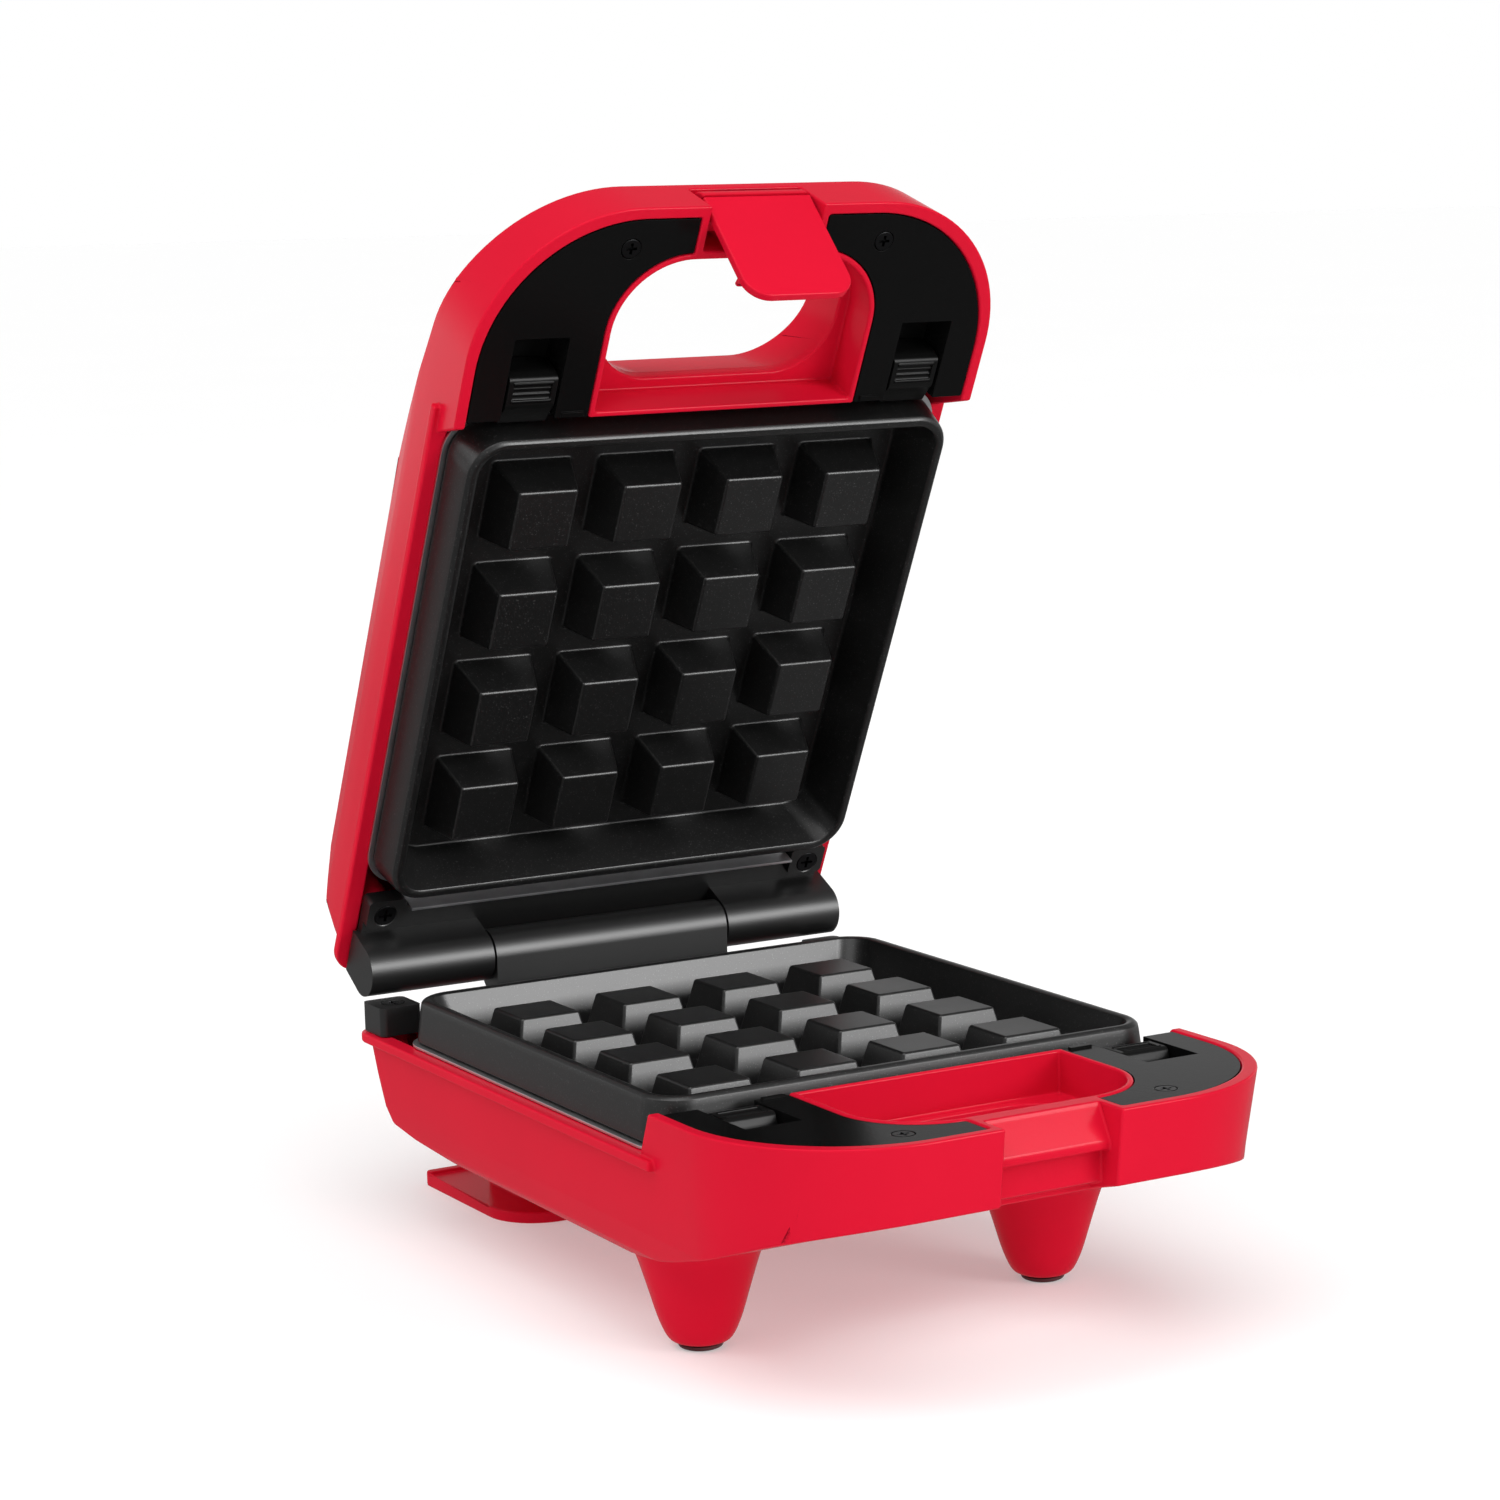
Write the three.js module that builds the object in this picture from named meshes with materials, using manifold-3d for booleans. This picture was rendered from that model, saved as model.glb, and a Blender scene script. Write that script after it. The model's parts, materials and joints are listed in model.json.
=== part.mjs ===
// Waffle maker: a small hinged waffle iron for one square waffle, drawn with its lid standing open.
// Millimetres, +Z up. X runs across the hinge, -Y is the handle side, +Y the hinge side, and the
// origin is the middle of the floor rectangle that the whole open appliance covers.
//
// The base and the lid are two halves of one design. Each half is drawn in the same half frame:
// z = 0 is the level of the waffle block tops, +z points at the other half and -z goes into the
// shell. The base half is lifted onto its feet. The lid half is mirrored above it, which is the
// closed appliance, and is then turned about the hinge axis to the angle at which it stands open.
import * as THREE from "three";
import { mergeVertices } from "three/addons/utils/BufferGeometryUtils.js";
import Module from "manifold-3d";

const wasm = await Module();
wasm.setup();

// ---------------------------------------------------------------- driving dimensions
const clearance = 0.3; // between pieces that touch
const blockTopHeight = 60; // block tops of the base above the floor
const closedGap = 5; // between the two sets of block tops when closed
const openAngle = 63.1; // lid angle, measured from closed

// waffle plate
const blockCount = 4;
const blockPitch = 27.5;
const blockTopHalf = 7.67;
const blockDepth = 11;
const blockDraft = 2.6;
const plateHalf = 64.2;
const plateCorner = 9;
const plateRimHeight = 2.2;
const plateRimWidth = 2.6;
const plateWallDraft = 4;
const plateFloor = 2.5;
const skirtDepth = 8.3;
const skirtFlare = 1;
const plateSkirtWall = 1.5;

// shell
const shellWidth = 138.6;
const shellRear = { base: 86.3, lid: 93 };
const handleReach = 121.5;
const handleTop = 0.8;
const handleCorner = 38;
const rearCorner = 6;
const shellWall = 2.8;
const shellDepth = 38;
const tubTop = -9.5;
const lipThickness = 2.4;
const lipOverhang = 0.3;
const shoulderY = -67.5;
const shoulderRun = 6.5;

// finger hole and the bar in front of it
const holeHalf = 34;
const holeRear = -70;
const holeFront = -108.2;
const holeCorner = 18;
const holeLedgeDepth = 9;
const holeLedge = 2.6;
const holeWall = 1.4;
const mouthTop = -12; // where the hole's plate-side wall starts to lean away
const mouthFlare = 9;
const notchHalf = 14.6;
const barCheek = 2;

// hinge
const hingeY = 85.85;
const hingeLift = 4.9; // hinge axis above the base block tops
const knuckleRadius = 6.4;
const middleKnuckleHalf = 33;
const knuckleGap = 0.6;
const hingeHalf = 67;
const pinRadius = 2;
const pinClearance = 0.2;

// feet
const footX = 45.7;
const footY = -45;
const footTopRadius = 16;
const footTipRadius = 6.2;
const footPad = 1.2;
const wrapHalf = 39.5;
const wrapFront = 62;
const wrapRear = 114;
const wrapThickness = 3;
const wrapLip = 0.8;
const wrapCorner = 14;
const stemInset = 10;
const stemFront = 70;
const stemTop = -31;

// screws, clips, latch, electrical pieces
const panelThickness = 2;
const panelLevel = 0.5;
const panelScrewX = 33.2;
const panelScrewY = -111.3;
const screwHead = 2.9;
const screwShank = 1.3;
const screwLength = 9;
const bossRadius = 3.6;
const clipX = 51;
const clipWidth = 12.4;
const clipPocketHalf = 6.9;
const clipPocketFront = -89.5;
const clipTravel = 6;
const latchWidth = 28;
const latchThickness = 2.1;
const latchRoot = 4.5; // from the pin to the latch's outer face
const latchReach = 30;
const latchCorner = 6;
const latchPivotY = -116.6;
const latchPivotZ = -6.5;
const latchOpenTilt = 20; // how far the latch leans towards the plate while the lid stands open
const latchPinRadius = 1.2;
const latchSpringHalf = 7;
const latchHookLevel = 21.4;
const latchHookReach = 3;
const elementRadius = 3.2;
const elementLevel = -18.4;
const elementHalf = 42;
const trayInset = 2.2;
const trayDepth = 24;
const trayWall = 0.7;

const shellHalf = shellWidth / 2;
const trayHalf = plateHalf - trayInset;
const originY = (wrapRear - handleReach) / 2;
const curveSteps = 5;

// ---------------------------------------------------------------- colours
const plastic = (color, roughness) => new THREE.MeshStandardMaterial({ color, roughness, metalness: 0 });
const metal = (color, roughness) => new THREE.MeshStandardMaterial({ color, roughness, metalness: 1 });
const finish = {
  red: plastic(0xdc1a32, 0.35),
  black: plastic(0x161616, 0.22),
  satinBlack: plastic(0x1c1c1c, 0.5),
  nonStick: plastic(0x1a1a1a, 0.45),
  rubber: plastic(0x4a0810, 0.8),
  steel: metal(0xb9bcc0, 0.35),
  aluminised: metal(0xa8abae, 0.45),
  sheath: metal(0x6b6d70, 0.5),
  ceramic: plastic(0xe8e2d4, 0.6),
  amber: plastic(0xd98018, 0.15),
  green: plastic(0x2f9a45, 0.15),
};

// ---------------------------------------------------------------- solids
// Closed three.js geometry as a manifold-3d solid.
function solid(geometry) {
  const bare = geometry.index ? geometry.toNonIndexed() : geometry.clone();
  bare.deleteAttribute("normal");
  bare.deleteAttribute("uv");
  const merged = mergeVertices(bare, 1e-4);
  return new wasm.Manifold(
    new wasm.Mesh({
      numProp: 3,
      vertProperties: merged.attributes.position.array,
      triVerts: new Uint32Array(merged.index.array),
    }),
  );
}

// A manifold-3d solid as three.js geometry.
function geometryOf(body) {
  const mesh = body.getMesh();
  const positions = new Float32Array(mesh.numVert * 3);
  for (let i = 0; i < mesh.numVert; i++) {
    positions.set(mesh.vertProperties.subarray(i * mesh.numProp, i * mesh.numProp + 3), i * 3);
  }
  return new THREE.BufferGeometry()
    .setAttribute("position", new THREE.BufferAttribute(positions, 3))
    .setIndex(new THREE.BufferAttribute(new Uint32Array(mesh.triVerts), 1));
}

function box([x0, x1], [y0, y1], [z0, z1]) {
  const geometry = new THREE.BoxGeometry(x1 - x0, y1 - y0, z1 - z0);
  return solid(geometry.translate((x0 + x1) / 2, (y0 + y1) / 2, (z0 + z1) / 2));
}

// A round bar or cone along X, Y or Z, from one end to the other.
function bar(axis, [from, to], [a, b], radius, endRadius = radius, sides = 24) {
  const geometry = new THREE.CylinderGeometry(endRadius, radius, to - from, sides);
  if (axis === "x") geometry.rotateZ(-Math.PI / 2).translate((from + to) / 2, a, b);
  if (axis === "y") geometry.translate(a, (from + to) / 2, b);
  if (axis === "z") geometry.rotateX(Math.PI / 2).translate(a, b, (from + to) / 2);
  return solid(geometry);
}

function polygon(points) {
  return new THREE.Shape(points.map(([a, b]) => new THREE.Vector2(a, b)));
}

// A plan outline (x, y) raised from z0 to z1.
function raise(shape, [z0, z1]) {
  const settings = { depth: z1 - z0, bevelEnabled: false, curveSegments: curveSteps };
  return solid(new THREE.ExtrudeGeometry(shape, settings).translate(0, 0, z0));
}

// A side outline (y, z) carried across from x0 to x1.
function across(shape, [x0, x1]) {
  const settings = { depth: x1 - x0, bevelEnabled: false, curveSegments: curveSteps };
  const geometry = new THREE.ExtrudeGeometry(shape, settings);
  return solid(geometry.applyMatrix4(new THREE.Matrix4().set(0, 0, 1, x0, 1, 0, 0, 0, 0, 1, 0, 0, 0, 0, 0, 1)));
}

// A plan outline carried down through levels of [height, inset], as a drafted and rounded moulding.
function drafted(shape, levels) {
  const settings = { depth: levels.length - 1, steps: levels.length - 1, bevelEnabled: false, curveSegments: curveSteps };
  const geometry = new THREE.ExtrudeGeometry(shape, settings);
  geometry.computeBoundingBox();
  const { min, max } = geometry.boundingBox;
  const middle = new THREE.Vector2((min.x + max.x) / 2, (min.y + max.y) / 2);
  const half = new THREE.Vector2((max.x - min.x) / 2, (max.y - min.y) / 2);
  const position = geometry.attributes.position;
  for (let i = 0; i < position.count; i++) {
    const [height, inset] = levels[Math.round(position.getZ(i))];
    const x = middle.x + (position.getX(i) - middle.x) * (1 - inset / half.x);
    const y = middle.y + (position.getY(i) - middle.y) * (1 - inset / half.y);
    position.setXYZ(i, x, y, height);
  }
  return solid(geometry);
}

function roundedRectangle([x0, x1], [y0, y1], radius) {
  const shape = new THREE.Shape();
  shape.moveTo(x1, y0 + radius);
  shape.lineTo(x1, y1 - radius);
  shape.absarc(x1 - radius, y1 - radius, radius, 0, Math.PI / 2);
  shape.absarc(x0 + radius, y1 - radius, radius, Math.PI / 2, Math.PI);
  shape.absarc(x0 + radius, y0 + radius, radius, Math.PI, Math.PI * 1.5);
  shape.absarc(x1 - radius, y0 + radius, radius, Math.PI * 1.5, Math.PI * 2);
  return shape;
}

function square(half, radius) {
  return roundedRectangle([-half, half], [-half, half], radius);
}

const sides = [
  ["left", -1],
  ["right", 1],
];

const union = (first, ...rest) => rest.reduce((whole, piece) => whole.add(piece), first);

// ---------------------------------------------------------------- scene
const waffleMaker = new THREE.Group();
waffleMaker.name = "waffle_maker";
waffleMaker.position.set(0, -originY, 0);

const baseHalf = new THREE.Group();
baseHalf.position.z = blockTopHeight;
waffleMaker.add(baseHalf);

const hingeZ = blockTopHeight + hingeLift;
const lid = new THREE.Group();
lid.position.set(0, hingeY, hingeZ);
lid.rotation.x = -THREE.MathUtils.degToRad(openAngle);
waffleMaker.add(lid);

const lidHalf = new THREE.Group();
lidHalf.scale.z = -1;
lidHalf.position.set(0, -hingeY, blockTopHeight + closedGap - hingeZ);
lid.add(lidHalf);

function add(half, name, body, material) {
  const mesh = new THREE.Mesh(geometryOf(body), material);
  mesh.name = name;
  half.add(mesh);
  return mesh;
}

// height of the hinge axis in each half's own frame
const axisZ = { base: hingeLift, lid: closedGap - hingeLift };

// ---------------------------------------------------------------- shells
// The plan of a shell: a square tub whose front grows into the rounded handle.
function shellPlan(rear) {
  const w = shellHalf;
  const front = -handleReach;
  const shape = new THREE.Shape();
  shape.moveTo(w, front + handleCorner);
  shape.lineTo(w, rear - rearCorner);
  shape.absarc(w - rearCorner, rear - rearCorner, rearCorner, 0, Math.PI / 2);
  shape.absarc(-w + rearCorner, rear - rearCorner, rearCorner, Math.PI / 2, Math.PI);
  shape.absarc(-w + handleCorner, front + handleCorner, handleCorner, Math.PI, Math.PI * 1.5);
  shape.absarc(w - handleCorner, front + handleCorner, handleCorner, Math.PI * 1.5, Math.PI * 2);
  return shape;
}

// The undersides seen from the side, from the handle's front to behind the hinge. The lid's is
// thinner at the handle and rolls down behind the hinge.
const underside = {
  base: [
    [-130, -13.5],
    [-105, -20.5],
    [-78, -29.5],
    [-48, -36],
    [0, -shellDepth],
    [45, -36.8],
    [95, -29.5],
  ],
  lid: [
    [-130, -12.5],
    [-105, -17.5],
    [-80, -24.5],
    [-45, -33.5],
    [0, -shellDepth],
    [60, -36],
    [76, -32.8],
    [87, -26],
    [96, -12],
  ],
};

// The side view of a shell: its walls step down behind the shoulder so that the plate's skirt shows.
function shellSide(half, lift, topHandle, topTub) {
  const under = underside[half].map(([y, z]) => new THREE.Vector2(y, z + lift));
  const rear = under[under.length - 1].x;
  const shape = new THREE.Shape();
  shape.moveTo(under[0].x, topHandle);
  shape.lineTo(under[0].x, under[0].y);
  shape.splineThru(under.slice(1));
  shape.lineTo(rear, topTub);
  shape.lineTo(shoulderY + shoulderRun, topTub);
  shape.lineTo(shoulderY, topHandle);
  return shape;
}

const everyHeight = [-80, 40];

// How far the walls lean in on the way down, and round into the underside.
const wallLevels = [
  [handleTop, 0],
  [tubTop - lipThickness, 1.6],
  [-28, 3.8],
  [-34, 5.6],
  [-shellDepth, 11],
].reverse();

function holePlan(grow) {
  const half = holeHalf + grow;
  const front = holeFront - grow;
  const corner = holeCorner + grow;
  const shape = new THREE.Shape();
  shape.moveTo(half, holeRear + grow);
  shape.lineTo(-half, holeRear + grow);
  shape.absarc(-half + corner, front + corner, corner, Math.PI, Math.PI * 1.5);
  shape.absarc(half - corner, front + corner, corner, Math.PI * 1.5, Math.PI * 2);
  return shape;
}

// The way out of the finger hole below its ledge, with all four corners round. Its plate-side wall
// leans away on the way down, so that fingers reach in easily.
function holeMouth(grow) {
  const half = holeHalf - holeLedge + grow;
  const front = holeFront + holeLedge / 2 - grow;
  const plan = roundedRectangle([-half, half], [front, holeRear - holeLedge + grow], 15 + grow);
  const leaning = new THREE.ExtrudeGeometry(plan, { depth: 1, steps: 1, bevelEnabled: false, curveSegments: curveSteps });
  const position = leaning.attributes.position;
  const middle = (front + holeRear) / 2;
  for (let i = 0; i < position.count; i++) {
    const low = 1 - position.getZ(i);
    const lean = position.getY(i) > middle ? low * mouthFlare : 0;
    position.setXYZ(i, position.getX(i), position.getY(i) + lean, mouthTop - low * (shellDepth + mouthTop));
  }
  return solid(leaning).add(raise(plan, [mouthTop - 0.1, 20]));
}

const handleSide = raise(polygon([[-90, -200], [90, -200], [90, shoulderY - 1], [-90, shoulderY - 1]]), everyHeight);

function shellBlank(half) {
  const rear = shellRear[half];
  const wall = drafted(shellPlan(rear), wallLevels);
  const lip = raise(
    roundedRectangle(
      [-shellHalf - lipOverhang, shellHalf + lipOverhang],
      [shoulderY, rear + lipOverhang],
      rearCorner + lipOverhang,
    ),
    [tubTop - lipThickness, tubTop],
  );
  const outside = across(shellSide(half, 0, handleTop, tubTop), [-90, 90]);
  return union(wall, lip.subtract(handleSide)).intersect(outside);
}

function shellHollow(half) {
  const levels = wallLevels.map(([height, inset]) => [height, inset + shellWall]);
  levels[0][0] = -shellDepth - 2;
  levels.push([everyHeight[1], shellWall]);
  return drafted(shellPlan(shellRear[half]), levels).intersect(across(shellSide(half, shellWall, 30, 30), [-90, 90]));
}

// Tub, handle, finger hole with its ledge, and the screw bosses, shared by base and lid.
function shell(half) {
  const blank = shellBlank(half);
  const holeTube = raise(holePlan(holeWall), [-60, handleTop]).add(holeMouth(holeWall)).intersect(blank);
  const barBlock = box(
    [-notchHalf - barCheek, notchHalf + barCheek],
    [-handleReach, holeFront],
    [-40, handleTop],
  ).intersect(blank);
  let body = union(blank.subtract(shellHollow(half)), holeTube, barBlock);
  body = body.subtract(raise(holePlan(0), [-holeLedgeDepth, 20])).subtract(holeMouth(0));
  for (const [, side] of sides) {
    const at = [side * panelScrewX, panelScrewY];
    const boss = bar("z", [-20, panelLevel - panelThickness - clearance], at, bossRadius);
    const pilot = bar("z", [-screwLength - 2, 10], at, screwShank + clearance);
    body = body.add(boss.intersect(blank)).subtract(pilot);
  }
  return body;
}

// The ramp that the latch rides over, and the nose that it hooks under, across the base's notch.
function catchRamp() {
  const side = polygon([
    [holeFront - 1.5, handleTop],
    [-112.8, handleTop],
    [-117.7, -7.3],
    [-117.2, -8.8],
    [-113.6, -9.3],
    [-113.6, -16.4],
    [holeFront - 1.5, -17.8],
  ]);
  return across(side, [-notchHalf - 0.5, notchHalf + 0.5]);
}

function foot(side) {
  const at = [side * footX, footY];
  const tip = -blockTopHeight + footPad + clearance;
  const cone = bar("z", [tip + 3, -30], at, footTipRadius + 1.9, footTopRadius, 28);
  const nose = bar("z", [tip, tip + 3], at, footTipRadius, footTipRadius + 1.9, 28);
  return cone.add(nose);
}

// The rear foot: a stem and a flange, between which and the tub the cord is wound.
function cordWrap() {
  const floor = -blockTopHeight;
  const flange = raise(
    roundedRectangle([-wrapHalf, wrapHalf], [wrapFront, wrapRear + wrapCorner], wrapCorner),
    [floor, floor + wrapThickness],
  ).intersect(box([-90, 90], [0, wrapRear], everyHeight));
  const lip = box([-wrapHalf, wrapHalf], [wrapRear - wrapThickness, wrapRear], [floor, floor + wrapThickness + wrapLip]);
  const stemHalf = wrapHalf - stemInset;
  const stemPlan = roundedRectangle([-stemHalf, stemHalf], [stemFront, wrapRear - stemInset], wrapCorner - 4);
  const stem = raise(stemPlan, [floor + 1, stemTop]);
  return union(flange, lip, stem.subtract(insideOfTub));
}

// Bosses in the rear corners of a tub for the two screws that hold its hinge bracket.
const hingeScrewLength = 12;
const lidPadX = shellHalf - 8.8;
const lidPadY = 73.6;
const lidPadTop = -5;
const postX = shellHalf - 6.8;
const postY = 78;
const postTop = -2.2;

function withHingeBosses(body, half, x, y) {
  let whole = body;
  for (const [, side] of sides) {
    const boss = bar("z", [-26, tubTop], [side * x, y], bossRadius).intersect(shellBlank(half));
    const pilot = bar("z", [-20, 10], [side * x, y], screwShank + clearance);
    whole = whole.add(boss).subtract(pilot);
  }
  return whole;
}

const insideOfTub = shellHollow("base");
const glandX = 0;
const glandZ = -21.5;
const glandHoleRadius = 6.2;

const notch = box([-notchHalf, notchHalf], [-200, -100], everyHeight);
const handleFrontOnly = box([-90, 90], [-200, holeFront - 1], everyHeight);
let baseShell = shell("base").subtract(notch.intersect(handleFrontOnly)).add(catchRamp());
baseShell = union(baseShell, foot(-1).subtract(insideOfTub), foot(1).subtract(insideOfTub), cordWrap());
baseShell = baseShell.subtract(bar("y", [70, 100], [glandX, glandZ], glandHoleRadius));
baseShell = withHingeBosses(baseShell, "base", postX, postY);
add(baseHalf, "base_housing", baseShell, finish.red);

// The lid's notch lets the latch turn on its pin; the pocket behind it stays open to the plate side.
const latchPocket = box([-notchHalf, notchHalf], [-handleReach + 2.4, holeFront - 2], [-12.6, 20]);
const latchWindow = box([-notchHalf, notchHalf], [-200, latchPivotY], [-12.6, 20]);
const latchPinHole = bar("x", [-notchHalf - 1.6, notchHalf + 1.6], [latchPivotY, latchPivotZ], latchPinRadius + clearance);
const lampX = 8;
const lampY = 12;
const lampRadius = 3;
let lidShell = shell("lid").subtract(latchPocket).subtract(latchWindow).subtract(latchPinHole);
for (const side of [-1, 1]) {
  lidShell = lidShell.subtract(bar("z", [-60, -25], [side * lampX, -lampY], lampRadius + clearance));
}
lidShell = withHingeBosses(lidShell, "lid", lidPadX, lidPadY);
add(lidHalf, "lid_housing", lidShell, finish.red);

// ---------------------------------------------------------------- handle panels, screws and clips
const panelInset = shellWall + clearance;

function panel(half, side) {
  const inner = side * (notchHalf + barCheek + clearance);
  const outer = side * 90;
  const region = box([Math.min(inner, outer), Math.max(inner, outer)], [-200, holeRear + 1.2], everyHeight);
  const bottom = panelLevel - panelThickness;
  let body = drafted(shellPlan(shellRear[half]), [
    [bottom, panelInset + 0.4],
    [panelLevel, panelInset],
  ]).intersect(region);
  body = body.subtract(raise(holePlan(holeWall + clearance), everyHeight));
  const x = side * clipX;
  const wall = 1.4;
  const well = box([x - clipPocketHalf - wall, x + clipPocketHalf + wall], [clipPocketFront - wall, holeRear + 1.2], [-10.5, panelLevel]);
  const hollow = box([x - clipPocketHalf, x + clipPocketHalf], [clipPocketFront, 0], [-9, 10]);
  body = body.add(well).subtract(hollow);
  const at = [side * panelScrewX, panelScrewY];
  const sink = bar("z", [panelLevel - 1.6, panelLevel + 0.1], at, screwShank + clearance, screwHead + clearance);
  return body.subtract(sink).subtract(bar("z", [-5, 5], at, screwShank + clearance));
}

// A countersunk screw with a cross recess. Its head's top is at level, and it points down.
function screw(x, y, level, length) {
  const head = bar("z", [level - 1.6, level], [x, y], screwShank, screwHead, 20);
  const shank = bar("z", [level - length, level - 1.5], [x, y], screwShank, screwShank, 12);
  const arm = 1.9;
  const slot = 0.4;
  const cross = union(
    box([x - arm, x + arm], [y - slot, y + slot], [level - 0.9, level + 1]),
    box([x - slot, x + slot], [y - arm, y + arm], [level - 0.9, level + 1]),
  );
  return head.add(shank).subtract(cross);
}

// A plate-release clip: a stepped, ribbed thumb slide whose nose reaches over the plate's lug.
const noseReach = -66.6;
function clip(side) {
  const x = side * clipX;
  const half = clipWidth / 2;
  const shelf = [x - half, x + half];
  const side_view = polygon([
    [noseReach, -5.2],
    [noseReach, -2.2],
    [-70, -0.9],
    [-72.5, 0.2],
    [-76, 0.2],
    [-76.4, -0.8],
    [-79.5, -0.8],
    [-80.2, -2.4],
    [-80.2, -8.6],
    [-70.5, -8.6],
    [-70.5, -5.2],
  ]);
  return across(side_view, shelf);
}

// ---------------------------------------------------------------- cooking plates
// A cast plate: a drafted pan with a rounded rim, and a skirt that hangs round it.
function wafflePlate() {
  const mouthHalf = plateHalf - plateRimWidth;
  const mouthCorner = plateCorner - plateRimWidth;
  const skirt = drafted(square(plateHalf, plateCorner), [
    [-skirtDepth, -skirtFlare],
    [0, -0.2],
    [plateRimHeight - 0.9, 0],
    [plateRimHeight, 0.8],
  ]);
  const pan = drafted(square(mouthHalf + plateFloor, plateCorner), [
    [-blockDepth - plateFloor, plateWallDraft + 0.6],
    [-1, 0.5],
  ]);
  const groove = drafted(square(plateHalf - plateSkirtWall, plateCorner), [
    [-skirtDepth - 1, -skirtFlare],
    [-3.5, 0],
  ]).subtract(pan);
  const mouth = drafted(square(mouthHalf, mouthCorner), [
    [-blockDepth, plateWallDraft],
    [plateRimHeight - 0.6, 0],
    [plateRimHeight + 0.1, -0.5],
  ]);
  let body = skirt.add(pan).subtract(groove).subtract(mouth);
  const first = -((blockCount - 1) / 2) * blockPitch;
  for (let i = 0; i < blockCount; i++) {
    for (let j = 0; j < blockCount; j++) {
      const x = first + i * blockPitch;
      const y = first + j * blockPitch;
      const root = blockTopHalf + blockDraft;
      const block = drafted(polygon([[x - root, y - root], [x + root, y - root], [x + root, y + root], [x - root, y + root]]), [
        [-blockDepth - 1, -0.25],
        [0, blockDraft],
      ]);
      body = body.add(block);
    }
  }
  for (const side of [-1, 1]) {
    const x = side * clipX;
    body = body.add(box([x - 4, x + 4], [-plateHalf - 3.6, -plateHalf + 1], [-7.6, -5.6]));
  }
  return body;
}

// The pressed tray that carries the element and throws its heat at the plate. Its flange lies
// between the plate's skirt and the shell, with a tongue at the rear that meets the hinge bracket.
const trayTongueHalf = 54.5;
const trayTongueRear = 71.6;
const trayCorner = 10;
function reflectorTray() {
  const top = -skirtDepth - clearance;
  const flangeHalf = plateHalf + skirtFlare + 0.6;
  const sheet = [top - trayWall, top];
  const flange = raise(square(flangeHalf, trayCorner), sheet).add(
    box([-trayTongueHalf, trayTongueHalf], [trayHalf, trayTongueRear], sheet),
  );
  const levels = (grow, floor, ceiling) => [
    [floor, 2 - grow],
    [ceiling, -grow],
  ];
  const pan = drafted(square(trayHalf, trayCorner), levels(trayWall, -trayDepth - trayWall, top - trayWall / 2));
  const hollow = drafted(square(trayHalf, trayCorner), levels(0, -trayDepth, top + 1));
  let body = flange.add(pan).subtract(hollow);
  for (const side of [-1, 1]) {
    const x = side * elementTerminal;
    body = body.subtract(bar("y", [-70, -40], [x, elementLevel], elementRadius + 1));
    body = body.subtract(box([x - elementRadius - 1, x + elementRadius + 1], [-70, -40], [elementLevel, -12]));
  }
  return body;
}

// The sheathed element: one bend around the pan, with both cold ends leaving towards the handle.
const elementTerminal = 22;
function heatingElement() {
  const path = new THREE.CurvePath();
  const z = elementLevel;
  const bend = 12;
  const end = -64.5;
  const points = [
    [-elementTerminal, end],
    [-elementTerminal, -elementHalf],
    [-elementHalf, -elementHalf],
    [-elementHalf, elementHalf],
    [elementHalf, elementHalf],
    [elementHalf, -elementHalf],
    [elementTerminal, -elementHalf],
    [elementTerminal, end],
  ].map(([x, y]) => new THREE.Vector3(x, y, z));
  let from = points[0];
  for (let i = 1; i < points.length - 1; i++) {
    const back = points[i - 1].clone().sub(points[i]);
    const ahead = points[i + 1].clone().sub(points[i]);
    const reach = Math.min(bend, back.length() / 2.1, ahead.length() / 2.1);
    const start = points[i].clone().add(back.setLength(reach));
    const stop = points[i].clone().add(ahead.setLength(reach));
    path.add(new THREE.LineCurve3(from, start));
    path.add(new THREE.QuadraticBezierCurve3(start, points[i], stop));
    from = stop;
  }
  path.add(new THREE.LineCurve3(from, points[points.length - 1]));
  const ring = new THREE.Shape();
  ring.absarc(0, 0, elementRadius, 0, Math.PI * 2);
  const settings = { steps: 44, extrudePath: path, bevelEnabled: false, curveSegments: 4 };
  return solid(new THREE.ExtrudeGeometry(ring, settings));
}

for (const [prefix, half] of [
  ["base", baseHalf],
  ["lid", lidHalf],
]) {
  for (const [word, side] of sides) {
    add(half, `${prefix}_panel_${word}`, panel(prefix, side), finish.black);
    add(
      half,
      `${prefix}_panel_screw_${word}`,
      screw(side * panelScrewX, panelScrewY, panelLevel, screwLength),
      finish.steel,
    );
    add(half, `${prefix}_clip_${word}`, clip(side), finish.satinBlack);
  }
  add(half, `${prefix}_waffle_plate`, wafflePlate(), finish.nonStick);
  add(half, `${prefix}_reflector_tray`, reflectorTray(), finish.aluminised);
  add(half, `${prefix}_heating_element`, heatingElement(), finish.sheath);
}

// ---------------------------------------------------------------- hinge
// Both brackets sit on the rear ledge of their half, behind the plate. The base carries the middle
// knuckle, the lid the two outer ones, and one pin runs through all three.
const bracketFront = 72.2;
const bracketRear = 82;
const lidBracketRear = shellRear.lid - 1.5;
const lidBracketSheet = 2.2;
const ledgeTop = tubTop + clearance;

// A knuckle around the hinge axis, with the web that joins it to its bracket.
function knuckle([x0, x1], z, webTo) {
  const drum = bar("x", [x0, x1], [hingeY, z], knuckleRadius, knuckleRadius, 32);
  const web = across(
    polygon([
      [hingeY - knuckleRadius, z],
      [webTo[0], webTo[1]],
      [webTo[2], webTo[1]],
      webTo[2] > hingeY ? [hingeY + knuckleRadius, z] : [hingeY + knuckleRadius * 0.6, z - knuckleRadius * 0.8],
    ]),
    [x0, x1],
  );
  return drum.add(web);
}

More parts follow.
